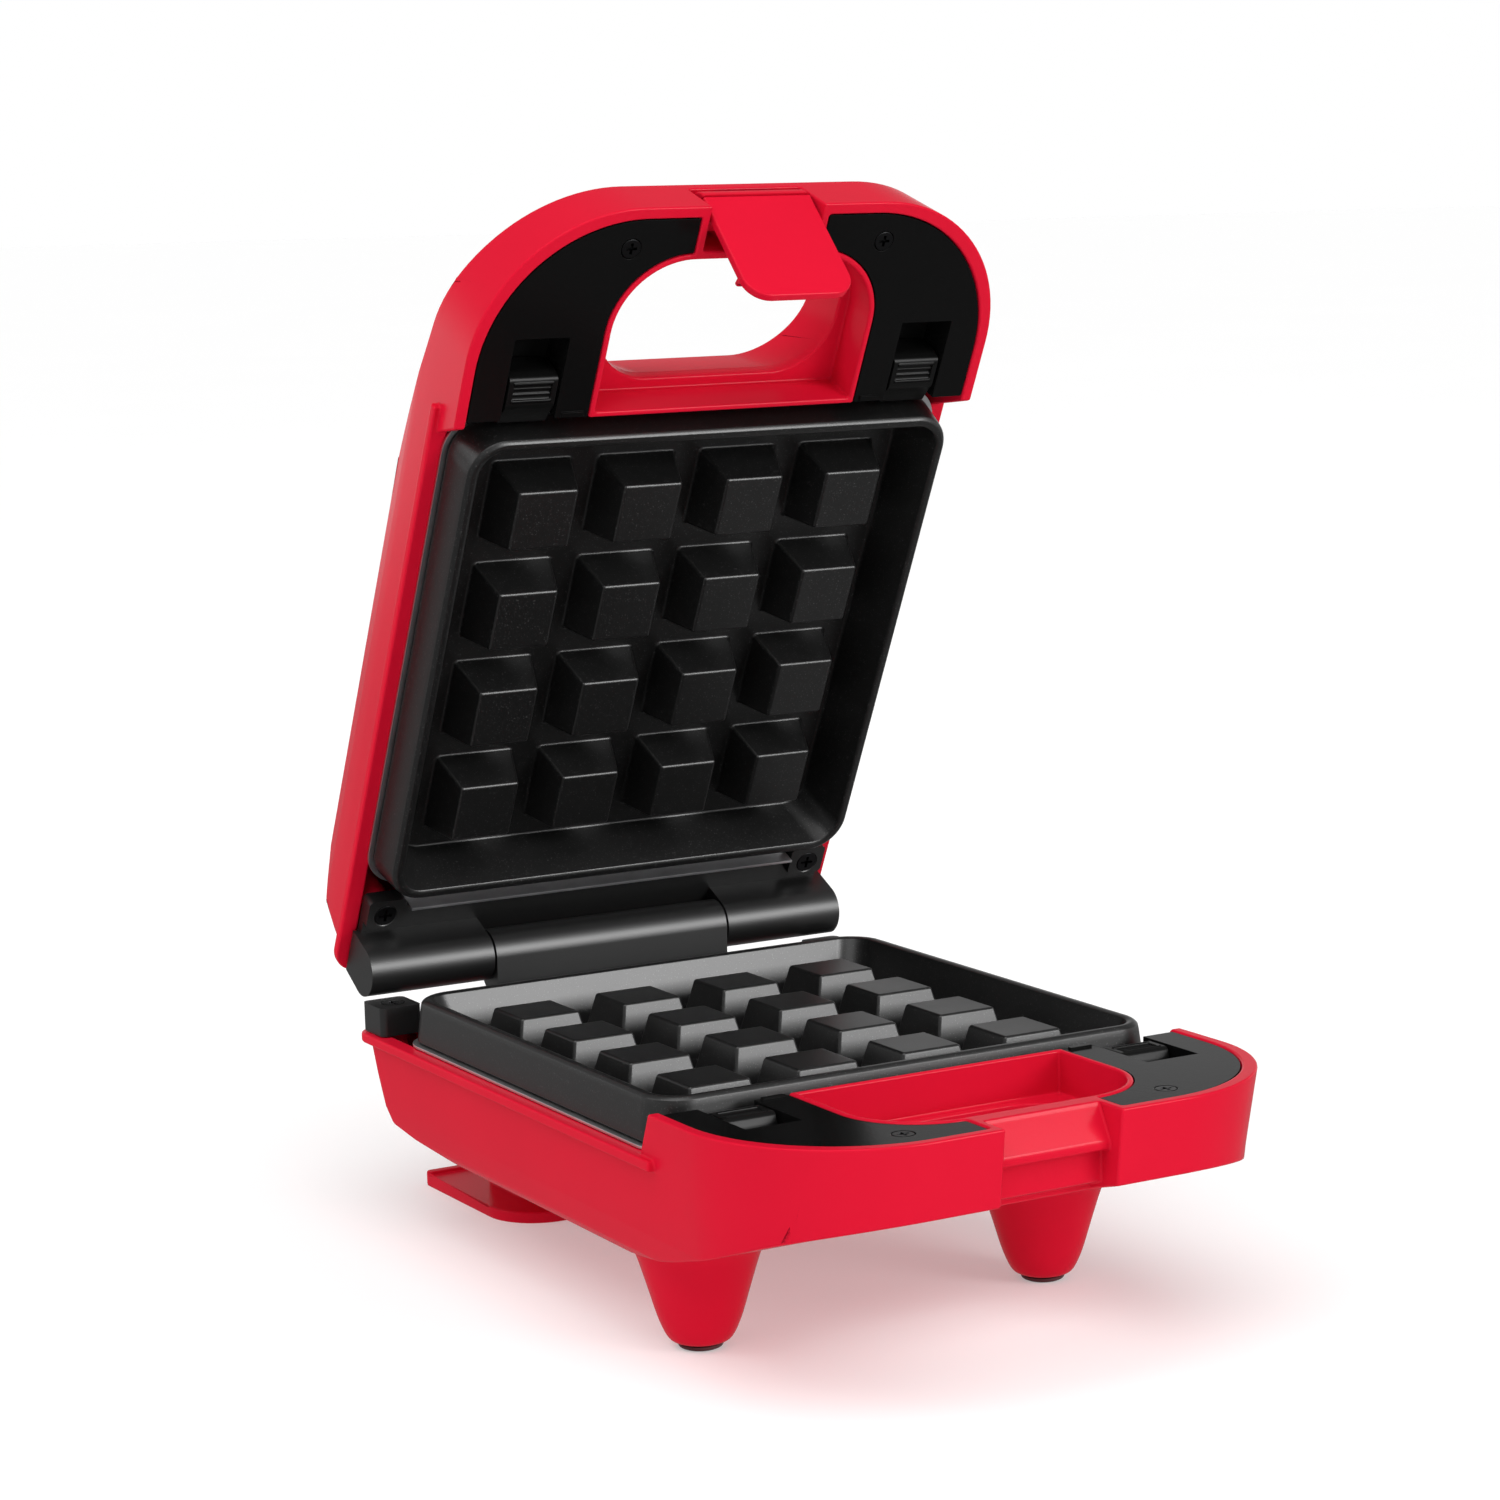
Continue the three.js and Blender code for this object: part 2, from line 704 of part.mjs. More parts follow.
const pinBore = (z) => bar("x", [-hingeHalf + 3, hingeHalf - 3], [hingeY, z], pinRadius + pinClearance, pinRadius + pinClearance, 24);

const screwHole = (x, y, level) =>
  bar("z", [level - 1.6, level + 0.1], [x, y], screwShank + clearance, screwHead + clearance).add(
    bar("z", [level - hingeScrewLength - 1, level + 20], [x, y], screwShank + clearance),
  );

function baseBracket() {
  const z = axisZ.base;
  let body = box([-shellHalf + 7, shellHalf - 7], [bracketFront, bracketRear], [ledgeTop, ledgeTop + 3]);
  body = body.add(knuckle([-middleKnuckleHalf, middleKnuckleHalf], z, [hingeY - 6, ledgeTop + 1, bracketRear]));
  for (const side of [-1, 1]) {
    const a = side * (shellHalf - 1.2);
    const b = side * (shellHalf - 12);
    body = body.add(box([Math.min(a, b), Math.max(a, b)], [bracketFront, shellRear.base - 2.3], [ledgeTop, postTop]));
    body = body.subtract(screwHole(side * postX, postY, postTop));
  }
  return body.subtract(pinBore(z));
}

function lidBracket() {
  const z = axisZ.lid;
  let body = box([-shellHalf + 4, shellHalf - 4], [bracketFront, lidBracketRear], [ledgeTop, ledgeTop + lidBracketSheet]);
  for (const side of [-1, 1]) {
    const inner = side * (middleKnuckleHalf + knuckleGap);
    const outer = side * hingeHalf;
    const span = [Math.min(inner, outer), Math.max(inner, outer)];
    body = body.add(knuckle(span, z, [bracketFront + 1, ledgeTop + 1, lidBracketRear]));
    const padInner = side * (shellHalf - 14);
    const padOuter = side * (shellHalf - 4);
    const padSpan = [Math.min(padInner, padOuter), Math.max(padInner, padOuter)];
    body = body.add(box(padSpan, [69, lidPadY + 3.4], [ledgeTop, lidPadTop]));
    body = body.subtract(screwHole(side * lidPadX, lidPadY, lidPadTop));
  }
  return body.subtract(pinBore(z));
}

add(baseHalf, "base_hinge_bracket", baseBracket(), finish.satinBlack);
add(lidHalf, "lid_hinge_bracket", lidBracket(), finish.satinBlack);
add(
  baseHalf,
  "hinge_pin",
  bar("x", [-hingeHalf + 3.5, hingeHalf - 3.5], [hingeY, axisZ.base], pinRadius, pinRadius, 20),
  finish.steel,
);

for (const [word, side] of sides) {
  add(lidHalf, `lid_hinge_screw_${word}`, screw(side * lidPadX, lidPadY, lidPadTop, hingeScrewLength), finish.steel);
  add(baseHalf, `base_hinge_screw_${word}`, screw(side * postX, postY, postTop, hingeScrewLength), finish.steel);
}

// ---------------------------------------------------------------- latch
// The latch turns on its own pin in the lid's handle. Closing the lid slides it over the base's ramp,
// which swings it outwards, and pulling it lets go of the nose.
const latchCarrier = new THREE.Group();
latchCarrier.position.set(0, latchPivotY, latchPivotZ);
latchCarrier.rotation.x = -THREE.MathUtils.degToRad(latchOpenTilt);
lidHalf.add(latchCarrier);

// Drawn upright about its pin: -y is the outside of the handle, and the flap hangs along z.
function latchFlap() {
  const outside = -latchRoot;
  const inside = outside + latchThickness;
  const half = latchWidth / 2;
  const side = polygon([
    [outside, 0],
    [inside, 0],
    [inside, latchReach - 0.8],
    [inside - 0.5, latchReach],
    [outside + 0.5, latchReach],
    [outside, latchReach - 0.8],
  ]);
  const face = new THREE.Shape();
  face.moveTo(-half, -1);
  face.lineTo(half, -1);
  face.absarc(half - latchCorner, latchReach - latchCorner, latchCorner, 0, Math.PI / 2);
  face.absarc(-half + latchCorner, latchReach - latchCorner, latchCorner, Math.PI / 2, Math.PI);
  const trim = solid(
    new THREE.ExtrudeGeometry(face, { depth: 20, bevelEnabled: false, curveSegments: 6 })
      .rotateX(Math.PI / 2)
      .translate(0, 10, 0),
  );
  const root = bar("x", [-half + 0.3, half - 0.3], [0, 0], latchRoot, latchRoot, 28);
  const hook = across(
    polygon([
      [inside - 0.5, latchHookLevel],
      [inside + latchHookReach, latchHookLevel],
      [inside + latchHookReach, latchHookLevel + 1],
      [inside - 0.5, latchHookLevel + 4.2],
    ]),
    [-half + 1, half - 1],
  );
  const springRoom = box([-latchSpringHalf - 0.8, latchSpringHalf + 0.8], [inside, 20], [-20, 20]);
  return across(side, [-half, half])
    .intersect(trim)
    .add(root.subtract(springRoom))
    .add(hook)
    .subtract(bar("x", [-40, 40], [0, 0], latchPinRadius + pinClearance));
}

add(latchCarrier, "latch", latchFlap(), finish.red);
add(
  latchCarrier,
  "latch_pin",
  bar("x", [-notchHalf - 1.2, notchHalf + 1.2], [0, 0], latchPinRadius, latchPinRadius, 16),
  finish.steel,
);
const springBody = bar("x", [-latchSpringHalf, latchSpringHalf], [0, 0], latchPinRadius + 0.9, latchPinRadius + 0.9, 20);
const springBore = bar("x", [-20, 20], [0, 0], latchPinRadius + pinClearance, latchPinRadius + pinClearance, 20);
add(latchCarrier, "latch_spring", springBody.subtract(springBore), finish.steel);

// ---------------------------------------------------------------- lamps, thermostat and wiring pieces
for (const [name, side, material] of [
  ["power_lamp_lens", -1, finish.amber],
  ["ready_lamp_lens", 1, finish.green],
]) {
  const crown = -shellDepth + 0.2;
  const dome = bar("z", [crown - 0.9, crown], [side * lampX, -lampY], lampRadius - 1, lampRadius, 20);
  add(lidHalf, name, dome.add(bar("z", [crown, -32], [side * lampX, -lampY], lampRadius, lampRadius, 20)), material);
}
add(lidHalf, "lamp_holder", box([-lampX - 5, lampX + 5], [-lampY - 5, -lampY + 5], [-31.6, -28]), finish.satinBlack);

const underTray = -trayDepth - trayWall - clearance;
add(baseHalf, "thermostat", bar("z", [-33.2, underTray], [0, 12], 9, 9, 28), finish.ceramic);
add(baseHalf, "thermal_fuse", bar("y", [-8, 10], [26, underTray - 3], 2.6, 2.6, 16), finish.ceramic);
add(baseHalf, "terminal_block", box([-40, -14], [30, 44], [-34, underTray - 0.5]), finish.ceramic);

const glandFront = shellRear.base - 10.5;
const gland = union(
  bar("y", [glandFront, shellRear.base - 4], [glandX, glandZ], glandHoleRadius - clearance),
  bar("y", [shellRear.base - 5, shellRear.base + 8], [glandX, glandZ], glandHoleRadius - clearance, 4.6),
  bar("y", [glandFront, glandFront + 3], [glandX, glandZ], glandHoleRadius + 0.9),
).subtract(bar("y", [70, 100], [glandX, glandZ], 3.2));
add(baseHalf, "cord_gland", gland, finish.satinBlack);

for (const [word, side] of sides) {
  const at = [side * footX, footY];
  const floor = -blockTopHeight;
  const pad = bar("z", [floor, floor + footPad], at, footTipRadius - 0.9, footTipRadius - 0.3, 28);
  add(baseHalf, `front_foot_pad_${word}`, pad, finish.rubber);
}

waffleMaker.updateMatrixWorld(true);
export default waffleMaker;
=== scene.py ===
"""A small waffle maker that stands open: its fine surfaces, finishes, studio and camera.

Each half of the appliance is drawn in its own half frame, in millimetres: z = 0 is the level of the
waffle block tops, +z points at the other half and -z goes into the shell, -y is the handle's side and
+y the hinge's. HalfFrame carries a finished form to its place in the object's frame.
"""

import json
import logging
import math
from dataclasses import dataclass, field
from enum import Enum
from typing import Iterable, Optional, Sequence, Union

import bmesh
import bpy
from mathutils import Matrix, Vector


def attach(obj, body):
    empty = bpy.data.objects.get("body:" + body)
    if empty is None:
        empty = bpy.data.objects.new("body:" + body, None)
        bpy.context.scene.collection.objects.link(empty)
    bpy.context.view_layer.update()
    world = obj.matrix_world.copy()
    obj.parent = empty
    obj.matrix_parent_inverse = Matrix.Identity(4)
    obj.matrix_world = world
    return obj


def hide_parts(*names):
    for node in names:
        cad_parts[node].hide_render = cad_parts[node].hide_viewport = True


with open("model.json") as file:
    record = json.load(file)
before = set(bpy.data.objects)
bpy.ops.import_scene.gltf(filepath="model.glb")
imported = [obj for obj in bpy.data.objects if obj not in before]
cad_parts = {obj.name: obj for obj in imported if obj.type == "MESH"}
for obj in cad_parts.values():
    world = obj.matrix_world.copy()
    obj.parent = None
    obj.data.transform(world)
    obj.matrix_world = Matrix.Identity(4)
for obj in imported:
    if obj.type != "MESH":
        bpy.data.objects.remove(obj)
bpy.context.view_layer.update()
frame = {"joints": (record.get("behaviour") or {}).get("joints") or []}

LOG = logging.getLogger("waffle_maker")
MM = 0.001
SIDES = (("left", -1), ("right", 1))
FAR = 200.0
SHARP_ANGLE = 38.0
FLAT_ANGLE = 0.05
DOUBLES = 0.001

Point = tuple[float, float]
Span = tuple[float, float]
Number = Union[int, float]
Corners = Sequence[tuple[float, ...]]


# ---------------------------------------------------------------- forms
class Operation(Enum):
    """How two closed forms are combined."""

    JOIN = "UNION"
    CUT = "DIFFERENCE"
    KEEP = "INTERSECT"


class Axis(Enum):
    """The direction that a form is carried or turned along."""

    X = "x"
    Y = "y"
    Z = "z"


TO_AXIS = {
    Axis.X: Matrix(((0, 0, 1, 0), (1, 0, 0, 0), (0, 1, 0, 0), (0, 0, 0, 1))),
    Axis.Y: Matrix(((1, 0, 0, 0), (0, 0, 1, 0), (0, -1, 0, 0), (0, 0, 0, 1))),
    Axis.Z: Matrix.Identity(4),
}


def catmull(points: Sequence[Point], steps: int) -> list[Point]:
    """Runs a smooth curve through a few points.

    Args:
        points: The points that the curve passes.
        steps: How many stretches lie between two of them.

    Returns:
        The points of the curve, ends included.
    """
    ends = [points[0], *points, points[-1]]
    curve: list[Point] = []
    for before, start, stop, after in zip(ends, ends[1:], ends[2:], ends[3:]):
        for step in range(steps):
            t = step / steps
            curve.append(
                tuple(
                    0.5 * (2 * b + (c - a) * t + (2 * a - 5 * b + 4 * c - d) * t**2 + (3 * b - a - 3 * c + d) * t**3)
                    for a, b, c, d in zip(before, start, stop, after)
                )
            )
    curve.append(tuple(points[-1]))
    return curve


class Form:
    """A closed shape in millimetres, made and changed with bmesh operators."""

    def __init__(self, bm: bmesh.types.BMesh) -> None:
        self.bm = bm

    @classmethod
    def outline(cls, corners: Corners, level: float, steps: int = 14) -> "Form":
        """Makes one flat face from corners, each with an optional radius as its third number."""
        bm = bmesh.new()
        verts = [bm.verts.new((corner[0], corner[1], level)) for corner in corners]
        bm.faces.new(verts)
        rounding: dict[float, list[bmesh.types.BMVert]] = {}
        for vert, corner in zip(verts, corners):
            if len(corner) > 2 and corner[2] > 0:
                rounding.setdefault(corner[2], []).append(vert)
        for radius, group in rounding.items():
            bmesh.ops.bevel(
                bm, geom=group, offset=radius, segments=steps, profile=0.5, affect="VERTICES", material=-1
            )
        bmesh.ops.remove_doubles(bm, verts=bm.verts[:], dist=0.002)
        return cls(bm)

    @classmethod
    def prism(cls, corners: Corners, span: Span, axis: Axis = Axis.Z, steps: int = 14) -> "Form":
        """Carries an outline straight from one end of a span to the other.

        Args:
            corners: The outline: (x, y) along Z, (y, z) along X, (x, -z) along Y, with a radius if round.
            span: Where it starts and stops.
            axis: The direction that it is carried along.
            steps: Facets of each round corner.

        Returns:
            The closed form.
        """
        form = cls.outline(corners, span[0], steps)
        made = bmesh.ops.extrude_face_region(form.bm, geom=form.bm.faces[:])
        moved = [item for item in made["geom"] if isinstance(item, bmesh.types.BMVert)]
        bmesh.ops.translate(form.bm, vec=(0, 0, span[1] - span[0]), verts=moved)
        return form.turned(TO_AXIS[axis]).facing_out()

    @classmethod
    def drafted(cls, corners: Corners, levels: Sequence[Point], steps: int = 14) -> "Form":
        """Carries a plan outline through levels of (height, inset), as a moulding with leaning walls."""
        form = cls.outline(corners, levels[0][0], steps)
        low, high = form.limits()
        middle, reach = (low + high) / 2, (high - low) / 2
        verts, scale = form.bm.verts[:], Vector((1.0, 1.0))
        for index, (height, inset) in enumerate(levels):
            if index:
                cap = form.top_face(levels[index - 1][0])
                made = bmesh.ops.extrude_face_region(form.bm, geom=[cap])
                if index > 1:
                    bmesh.ops.delete(form.bm, geom=[cap], context="FACES_ONLY")
                verts = [item for item in made["geom"] if isinstance(item, bmesh.types.BMVert)]
                bmesh.ops.translate(form.bm, vec=(0, 0, height - levels[index - 1][0]), verts=verts)
            wanted = Vector((1 - inset / reach.x, 1 - inset / reach.y))
            ratio = (wanted.x / scale.x, wanted.y / scale.y, 1)
            about = Matrix.Translation((-middle.x, -middle.y, 0))
            bmesh.ops.scale(form.bm, vec=ratio, space=about, verts=verts)
            scale = wanted
        return form.facing_out()

    @classmethod
    def turned_profile(
        cls, profile: Sequence[Point], middle: Vector, axis: Axis = Axis.Z, steps: int = 48, ring: bool = False
    ) -> "Form":
        """Turns a profile of (radius, height) about an axis through middle.

        Args:
            profile: The points, which start and end on the axis unless they make a ring.
            middle: A point on the axis.
            axis: The axis's direction.
            steps: Facets round the axis.
            ring: Whether the profile closes on itself, clear of the axis.

        Returns:
            The closed form.
        """
        bm = bmesh.new()
        verts = [bm.verts.new((radius, 0, height)) for radius, height in profile]
        following = verts[1:] + verts[:1] if ring else verts[1:]
        edges = [bm.edges.new(pair) for pair in zip(verts, following)]
        bmesh.ops.spin(
            bm, geom=verts + edges, cent=(0, 0, 0), axis=(0, 0, 1), angle=math.tau, steps=steps, use_merge=True
        )
        bmesh.ops.remove_doubles(bm, verts=bm.verts[:], dist=DOUBLES)
        return cls(bm).turned(Matrix.Translation(middle) @ TO_AXIS[axis]).facing_out()

    @classmethod
    def rod(
        cls, axis: Axis, span: Span, middle: Point, radius: float, end: Optional[float] = None, steps: int = 48
    ) -> "Form":
        """A round bar or cone from one end of a span to the other.

        Args:
            axis: The direction that it runs along.
            span: Where it starts and stops.
            middle: Where its axis lies, in the two other directions.
            radius: Its radius at the start.
            end: Its radius at the stop, if it is a cone.
            steps: Facets round the axis.

        Returns:
            The closed form.
        """
        end = radius if end is None else end
        places = {Axis.X: (0, *middle), Axis.Y: (middle[0], 0, middle[1]), Axis.Z: (*middle, 0)}
        profile = [(0, span[0]), (radius, span[0]), (end, span[1]), (0, span[1])]
        return cls.turned_profile(profile, Vector(places[axis]), axis, steps)

    @classmethod
    def block(cls, x: Span, y: Span, z: Span, corner: float = 0, steps: int = 6) -> "Form":
        """A block between three spans, with its upright edges round if a corner radius is given."""
        return cls.prism(rectangle(x, y, corner), z, Axis.Z, steps)

    def turned(self, matrix: Matrix) -> "Form":
        """Moves, turns or mirrors the form."""
        bmesh.ops.transform(self.bm, matrix=matrix, verts=self.bm.verts[:])
        return self

    def facing_out(self) -> "Form":
        """Points every face outwards."""
        bmesh.ops.recalc_face_normals(self.bm, faces=self.bm.faces[:])
        return self

    def limits(self) -> tuple[Vector, Vector]:
        """The form's lowest and highest corners."""
        places = [vert.co for vert in self.bm.verts]
        low = Vector([min(place[i] for place in places) for i in range(3)])
        high = Vector([max(place[i] for place in places) for i in range(3)])
        return low, high

    def top_face(self, height: float) -> bmesh.types.BMFace:
        """The level face at a height that closes the form there."""
        near = [face for face in self.bm.faces if all(abs(vert.co.z - height) < 1e-4 for vert in face.verts)]
        return near[-1]

    def mesh(self, name: str = "form") -> bpy.types.Mesh:
        """Writes the form into a new mesh."""
        mesh = bpy.data.meshes.new(name)
        self.bm.to_mesh(mesh)
        return mesh

    def combined(self, other: "Form", operation: Operation) -> "Form":
        """Joins, cuts or keeps this form by another.

        Args:
            other: The form that works on this one.
            operation: What it does.

        Returns:
            A new form.
        """
        holders = []
        for form in (self, other):
            holder = bpy.data.objects.new("holder", form.mesh())
            bpy.context.scene.collection.objects.link(holder)
            holders.append(holder)
        modifier = holders[0].modifiers.new("combine", "BOOLEAN")
        modifier.operation = operation.value
        modifier.solver = "EXACT"
        modifier.object = holders[1]
        bpy.context.view_layer.update()
        evaluated = holders[0].evaluated_get(bpy.context.evaluated_depsgraph_get())
        bm = bmesh.new()
        bm.from_mesh(evaluated.to_mesh())
        evaluated.to_mesh_clear()
        for holder in holders:
            mesh = holder.data
            bpy.data.objects.remove(holder)
            bpy.data.meshes.remove(mesh)
        return Form(bm)

    def __add__(self, other: "Form") -> "Form":
        """Both forms as one."""
        return self.combined(other, Operation.JOIN)

    def __sub__(self, other: "Form") -> "Form":
        """This form without the other."""
        return self.combined(other, Operation.CUT)

    def __and__(self, other: "Form") -> "Form":
        """What both forms share."""
        return self.combined(other, Operation.KEEP)

    def with_loose(self, others: Iterable["Form"]) -> "Form":
        """Puts forms that stay clear of each other into one, without joining their surfaces."""
        for other in others:
            self.bm.from_mesh(other.mesh())
        return self

    def eased(self) -> "Form":
        """Merges stray doubles and drops edges that lie in flat faces."""
        bmesh.ops.remove_doubles(self.bm, verts=self.bm.verts[:], dist=DOUBLES)
        flat = math.radians(FLAT_ANGLE)
        bmesh.ops.dissolve_limit(self.bm, angle_limit=flat, verts=self.bm.verts[:], edges=self.bm.edges[:])
        return self


def rectangle(x: Span, y: Span, corner: float = 0) -> list[tuple[float, float, float]]:
    """The corners of a rectangle, each with the same radius."""
    return [(x[0], y[0], corner), (x[1], y[0], corner), (x[1], y[1], corner), (x[0], y[1], corner)]


def square(half: float, corner: float) -> list[tuple[float, float, float]]:
    """The corners of a square about the middle."""
    return rectangle((-half, half), (-half, half), corner)


def ordered(a: float, b: float) -> Span:
    """Two numbers as a span, the lower one first."""
    return (min(a, b), max(a, b))


# ---------------------------------------------------------------- half frames and pieces
class Half(Enum):
    """The two halves of the appliance."""

    BASE = "base"
    LID = "lid"


@dataclass(frozen=True)
class HingeLine:
    """Where the hinge lies in the half frames, and how far the lid stands open."""

    y: float = 85.85
    lift: float = 4.9
    closed_gap: float = 5.0

    @property
    def joint(self) -> dict:
        """The lid's joint as the record states it."""
        return next(joint for joint in frame["joints"] if joint["name"] == "lid_hinge")

    @property
    def place(self) -> Vector:
        """The hinge axis in the object's frame, in millimetres."""
        return Vector(self.joint["pos_m"]) / MM

    @property
    def open_angle(self) -> float:
        """The angle from closed to where the lid stands, in radians."""
        return math.radians(self.joint["range_deg"][1])

    def level(self, half: Half) -> float:
        """The height of the hinge axis in a half's own frame."""
        return self.lift if half is Half.BASE else self.closed_gap - self.lift


HINGE = HingeLine()


@dataclass(frozen=True)
class HalfFrame:
    """Carries forms from a half's own millimetres to the object's."""

    half: Half

    @property
    def matrix(self) -> Matrix:
        """The placing matrix: the lid is the mirrored half, closed and then turned open."""
        to_hinge = Matrix.Translation(HINGE.place)
        if self.half is Half.BASE:
            own = Matrix.Translation((0, -HINGE.y, -HINGE.lift))
        else:
            opened = Matrix.Rotation(-HINGE.open_angle, 4, "X")
            closed = Matrix.Translation((0, -HINGE.y, HINGE.closed_gap - HINGE.lift))
            own = opened @ closed @ Matrix.Scale(-1, 4, (0, 0, 1))
        return to_hinge @ own


@dataclass(frozen=True)
class Edge:
    """How a piece's sharp edges are rounded."""

    width: float = 0.5
    steps: int = 3
    angle: float = 32.0
    clamp: bool = False


class Piece:
    """One finished, dressed piece of the object, which stands for the node of the same name."""

    def __init__(
        self, name: str, form: Form, half: Half, body: str, finish: "Finish", edge: Edge = Edge()
    ) -> None:
        """Places the form, rounds it, dresses it, and lets it stand for its node.

        Args:
            name: The piece's name, which is its node's name too.
            form: The shape, in its half's own frame.
            half: The half of the appliance that it is drawn in.
            body: The rigid body that it rides on.
            finish: Its finish.
            edge: How its edges are rounded.
        """
        self.name = name
        form = form.eased().turned(HalfFrame(half).matrix)
        mesh = (form.facing_out() if half is Half.LID else form).mesh(name)
        mesh.transform(Matrix.Scale(MM, 4))
        self.object = bpy.data.objects.new(f"{name}_fine", mesh)
        bpy.context.scene.collection.objects.link(self.object)
        self._round(edge)
        self.object.data.materials.clear()
        self.object.data.materials.append(finish.material())
        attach(self.object, body)
        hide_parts(name)
        LOG.info("%s on %s: %d faces", name, body, len(self.object.data.polygons))

    def _round(self, edge: Edge) -> None:
        """Bevels the sharp edges, weights the normals by face area, and fixes the result in the mesh."""
        if edge.width > 0:
            bevel = self.object.modifiers.new("edges", "BEVEL")
            bevel.width = edge.width * MM
            bevel.segments = edge.steps
            bevel.limit_method = "ANGLE"
            bevel.angle_limit = math.radians(edge.angle)
            bevel.use_clamp_overlap = edge.clamp
            bevel.miter_outer = "MITER_ARC"
        bpy.context.view_layer.update()
        evaluated = self.object.evaluated_get(bpy.context.evaluated_depsgraph_get())
        fixed = bpy.data.meshes.new_from_object(evaluated)
        self.object.modifiers.clear()
        self.object.data = fixed
        fixed.name = self.name
        fixed.shade_smooth()
        bm = bmesh.new()
        bm.from_mesh(fixed)
        for rim in bm.edges:
            rim.smooth = rim.is_manifold and rim.calc_face_angle(0) < math.radians(SHARP_ANGLE)
        bm.to_mesh(fixed)
        bm.free()
        weighted = self.object.modifiers.new("normals", "WEIGHTED_NORMAL")
        weighted.keep_sharp = True


# ---------------------------------------------------------------- shader maths
class Wire:
    """A node socket that takes part in Python expressions."""

    def __init__(self, graph: "Graph", socket: bpy.types.NodeSocket) -> None:
        self.graph = graph
        self.socket = socket

    def _math(self, operation: str, *values: Union["Wire", Number]) -> "Wire":
        """Adds a Math node and returns its result."""
        return self.graph.node("ShaderNodeMath", {"operation": operation}, dict(enumerate(values)))

    def __add__(self, other: Union["Wire", Number]) -> "Wire":
        """Sum."""
        return self._math("ADD", self, other)

    __radd__ = __add__

    def __sub__(self, other: Union["Wire", Number]) -> "Wire":
        """Difference."""
        return self._math("SUBTRACT", self, other)

    def __mul__(self, other: Union["Wire", Number]) -> "Wire":
        """Product."""
        return self._math("MULTIPLY", self, other)

    __rmul__ = __mul__

    def __gt__(self, other: Union["Wire", Number]) -> "Wire":
        """One where this value is the greater, nought elsewhere."""
        return self._math("GREATER_THAN", self, other)


class Graph:
    """The nodes of one material."""

    def __init__(self, material: bpy.types.Material) -> None:
        material.use_nodes = True
        self.tree = material.node_tree
        self.tree.nodes.clear()

    def node(self, kind: str, settings: dict, inputs: dict, output: Union[int, str] = 0) -> Wire:
        """Adds one node.

        Args:
            kind: The node's type.
            settings: Its settings; a ramp's stops are given under "stops".
            inputs: Values or wires of its sockets, by name or number.
            output: Which output the returned wire takes.

        Returns:
            The wire from that output.
        """
        made = self.tree.nodes.new(kind)
        for key, value in settings.items():
            if key == "stops":
                ramp = made.color_ramp
                for element, (place, color) in zip(ramp.elements, value):
                    element.position = place
                    element.color = color
            else:
                setattr(made, key, value)
        for key, value in inputs.items():
            if isinstance(value, Wire):
                self.tree.links.new(value.socket, made.inputs[key])
            else:
                made.inputs[key].default_value = value
        return Wire(self, made.outputs[output])

    def place(self, stretch: Sequence[float] = (1, 1, 1)) -> Wire:
        """Object coordinates, stretched along the axes."""
        coordinates = self.node("ShaderNodeTexCoord", {}, {}, "Object")
        return self.node("ShaderNodeMapping", {}, {"Vector": coordinates, "Scale": tuple(stretch)})

    def noise(self, size_mm: float, detail: float = 2.0, stretch: Sequence[float] = (1, 1, 1)) -> Wire:
        """Noise whose grains are about size_mm across."""
        settings = {"noise_dimensions": "3D"}
        inputs = {"Vector": self.place(stretch), "Scale": 1 / (size_mm * MM), "Detail": detail}
        return self.node("ShaderNodeTexNoise", settings, inputs)

    def tint(self, factor: Wire, first: Sequence[float], second: Sequence[float]) -> Wire:
        """A colour between two colours."""
        stops = [(0.0, (*first, 1)), (1.0, (*second, 1))]
        return self.node("ShaderNodeValToRGB", {"stops": stops}, {0: factor})

    def bump(self, height: Wire, depth_mm: float, strength: float = 1.0, below: Optional[Wire] = None) -> Wire:
        """A normal raised by a height of at most depth_mm."""
        inputs = {"Height": height, "Distance": depth_mm * MM, "Strength": strength}
        if below is not None:
            inputs["Normal"] = below
        return self.node("ShaderNodeBump", {}, inputs)

    def surface(self, **inputs: Union[Wire, Number, Sequence[float]]) -> None:
        """Ends the graph in one Principled shader, with socket names in plain lower case."""
        named = {key.replace("_", " ").title().replace("Ior", "IOR"): value for key, value in inputs.items()}
        shader = self.node("ShaderNodeBsdfPrincipled", {}, named)
        output = self.tree.nodes.new("ShaderNodeOutputMaterial")
        self.tree.links.new(shader.socket, output.inputs["Surface"])


Color = tuple[float, float, float]


@dataclass(frozen=True)
class Finish:
    """A finish of the object; each kind builds its own nodes once."""

    name: str
    slot: str
    color: Color

    def material(self) -> bpy.types.Material:
        """The finish's material, made on first use."""
        found = bpy.data.materials.get(self.name)
        if found is None:
            found = bpy.data.materials.new(self.name)
            found.diffuse_color = (*self.color, 1)
            self.build(Graph(found))
        return found

    def build(self, graph: Graph) -> None:
        """Builds the nodes."""
        graph.surface(base_color=(*self.color, 1), roughness=0.5)

    def shade(self, share: float) -> Color:
        """The finish's colour, darker or lighter by a share."""
        return tuple(min(1.0, channel * share) for channel in self.color)


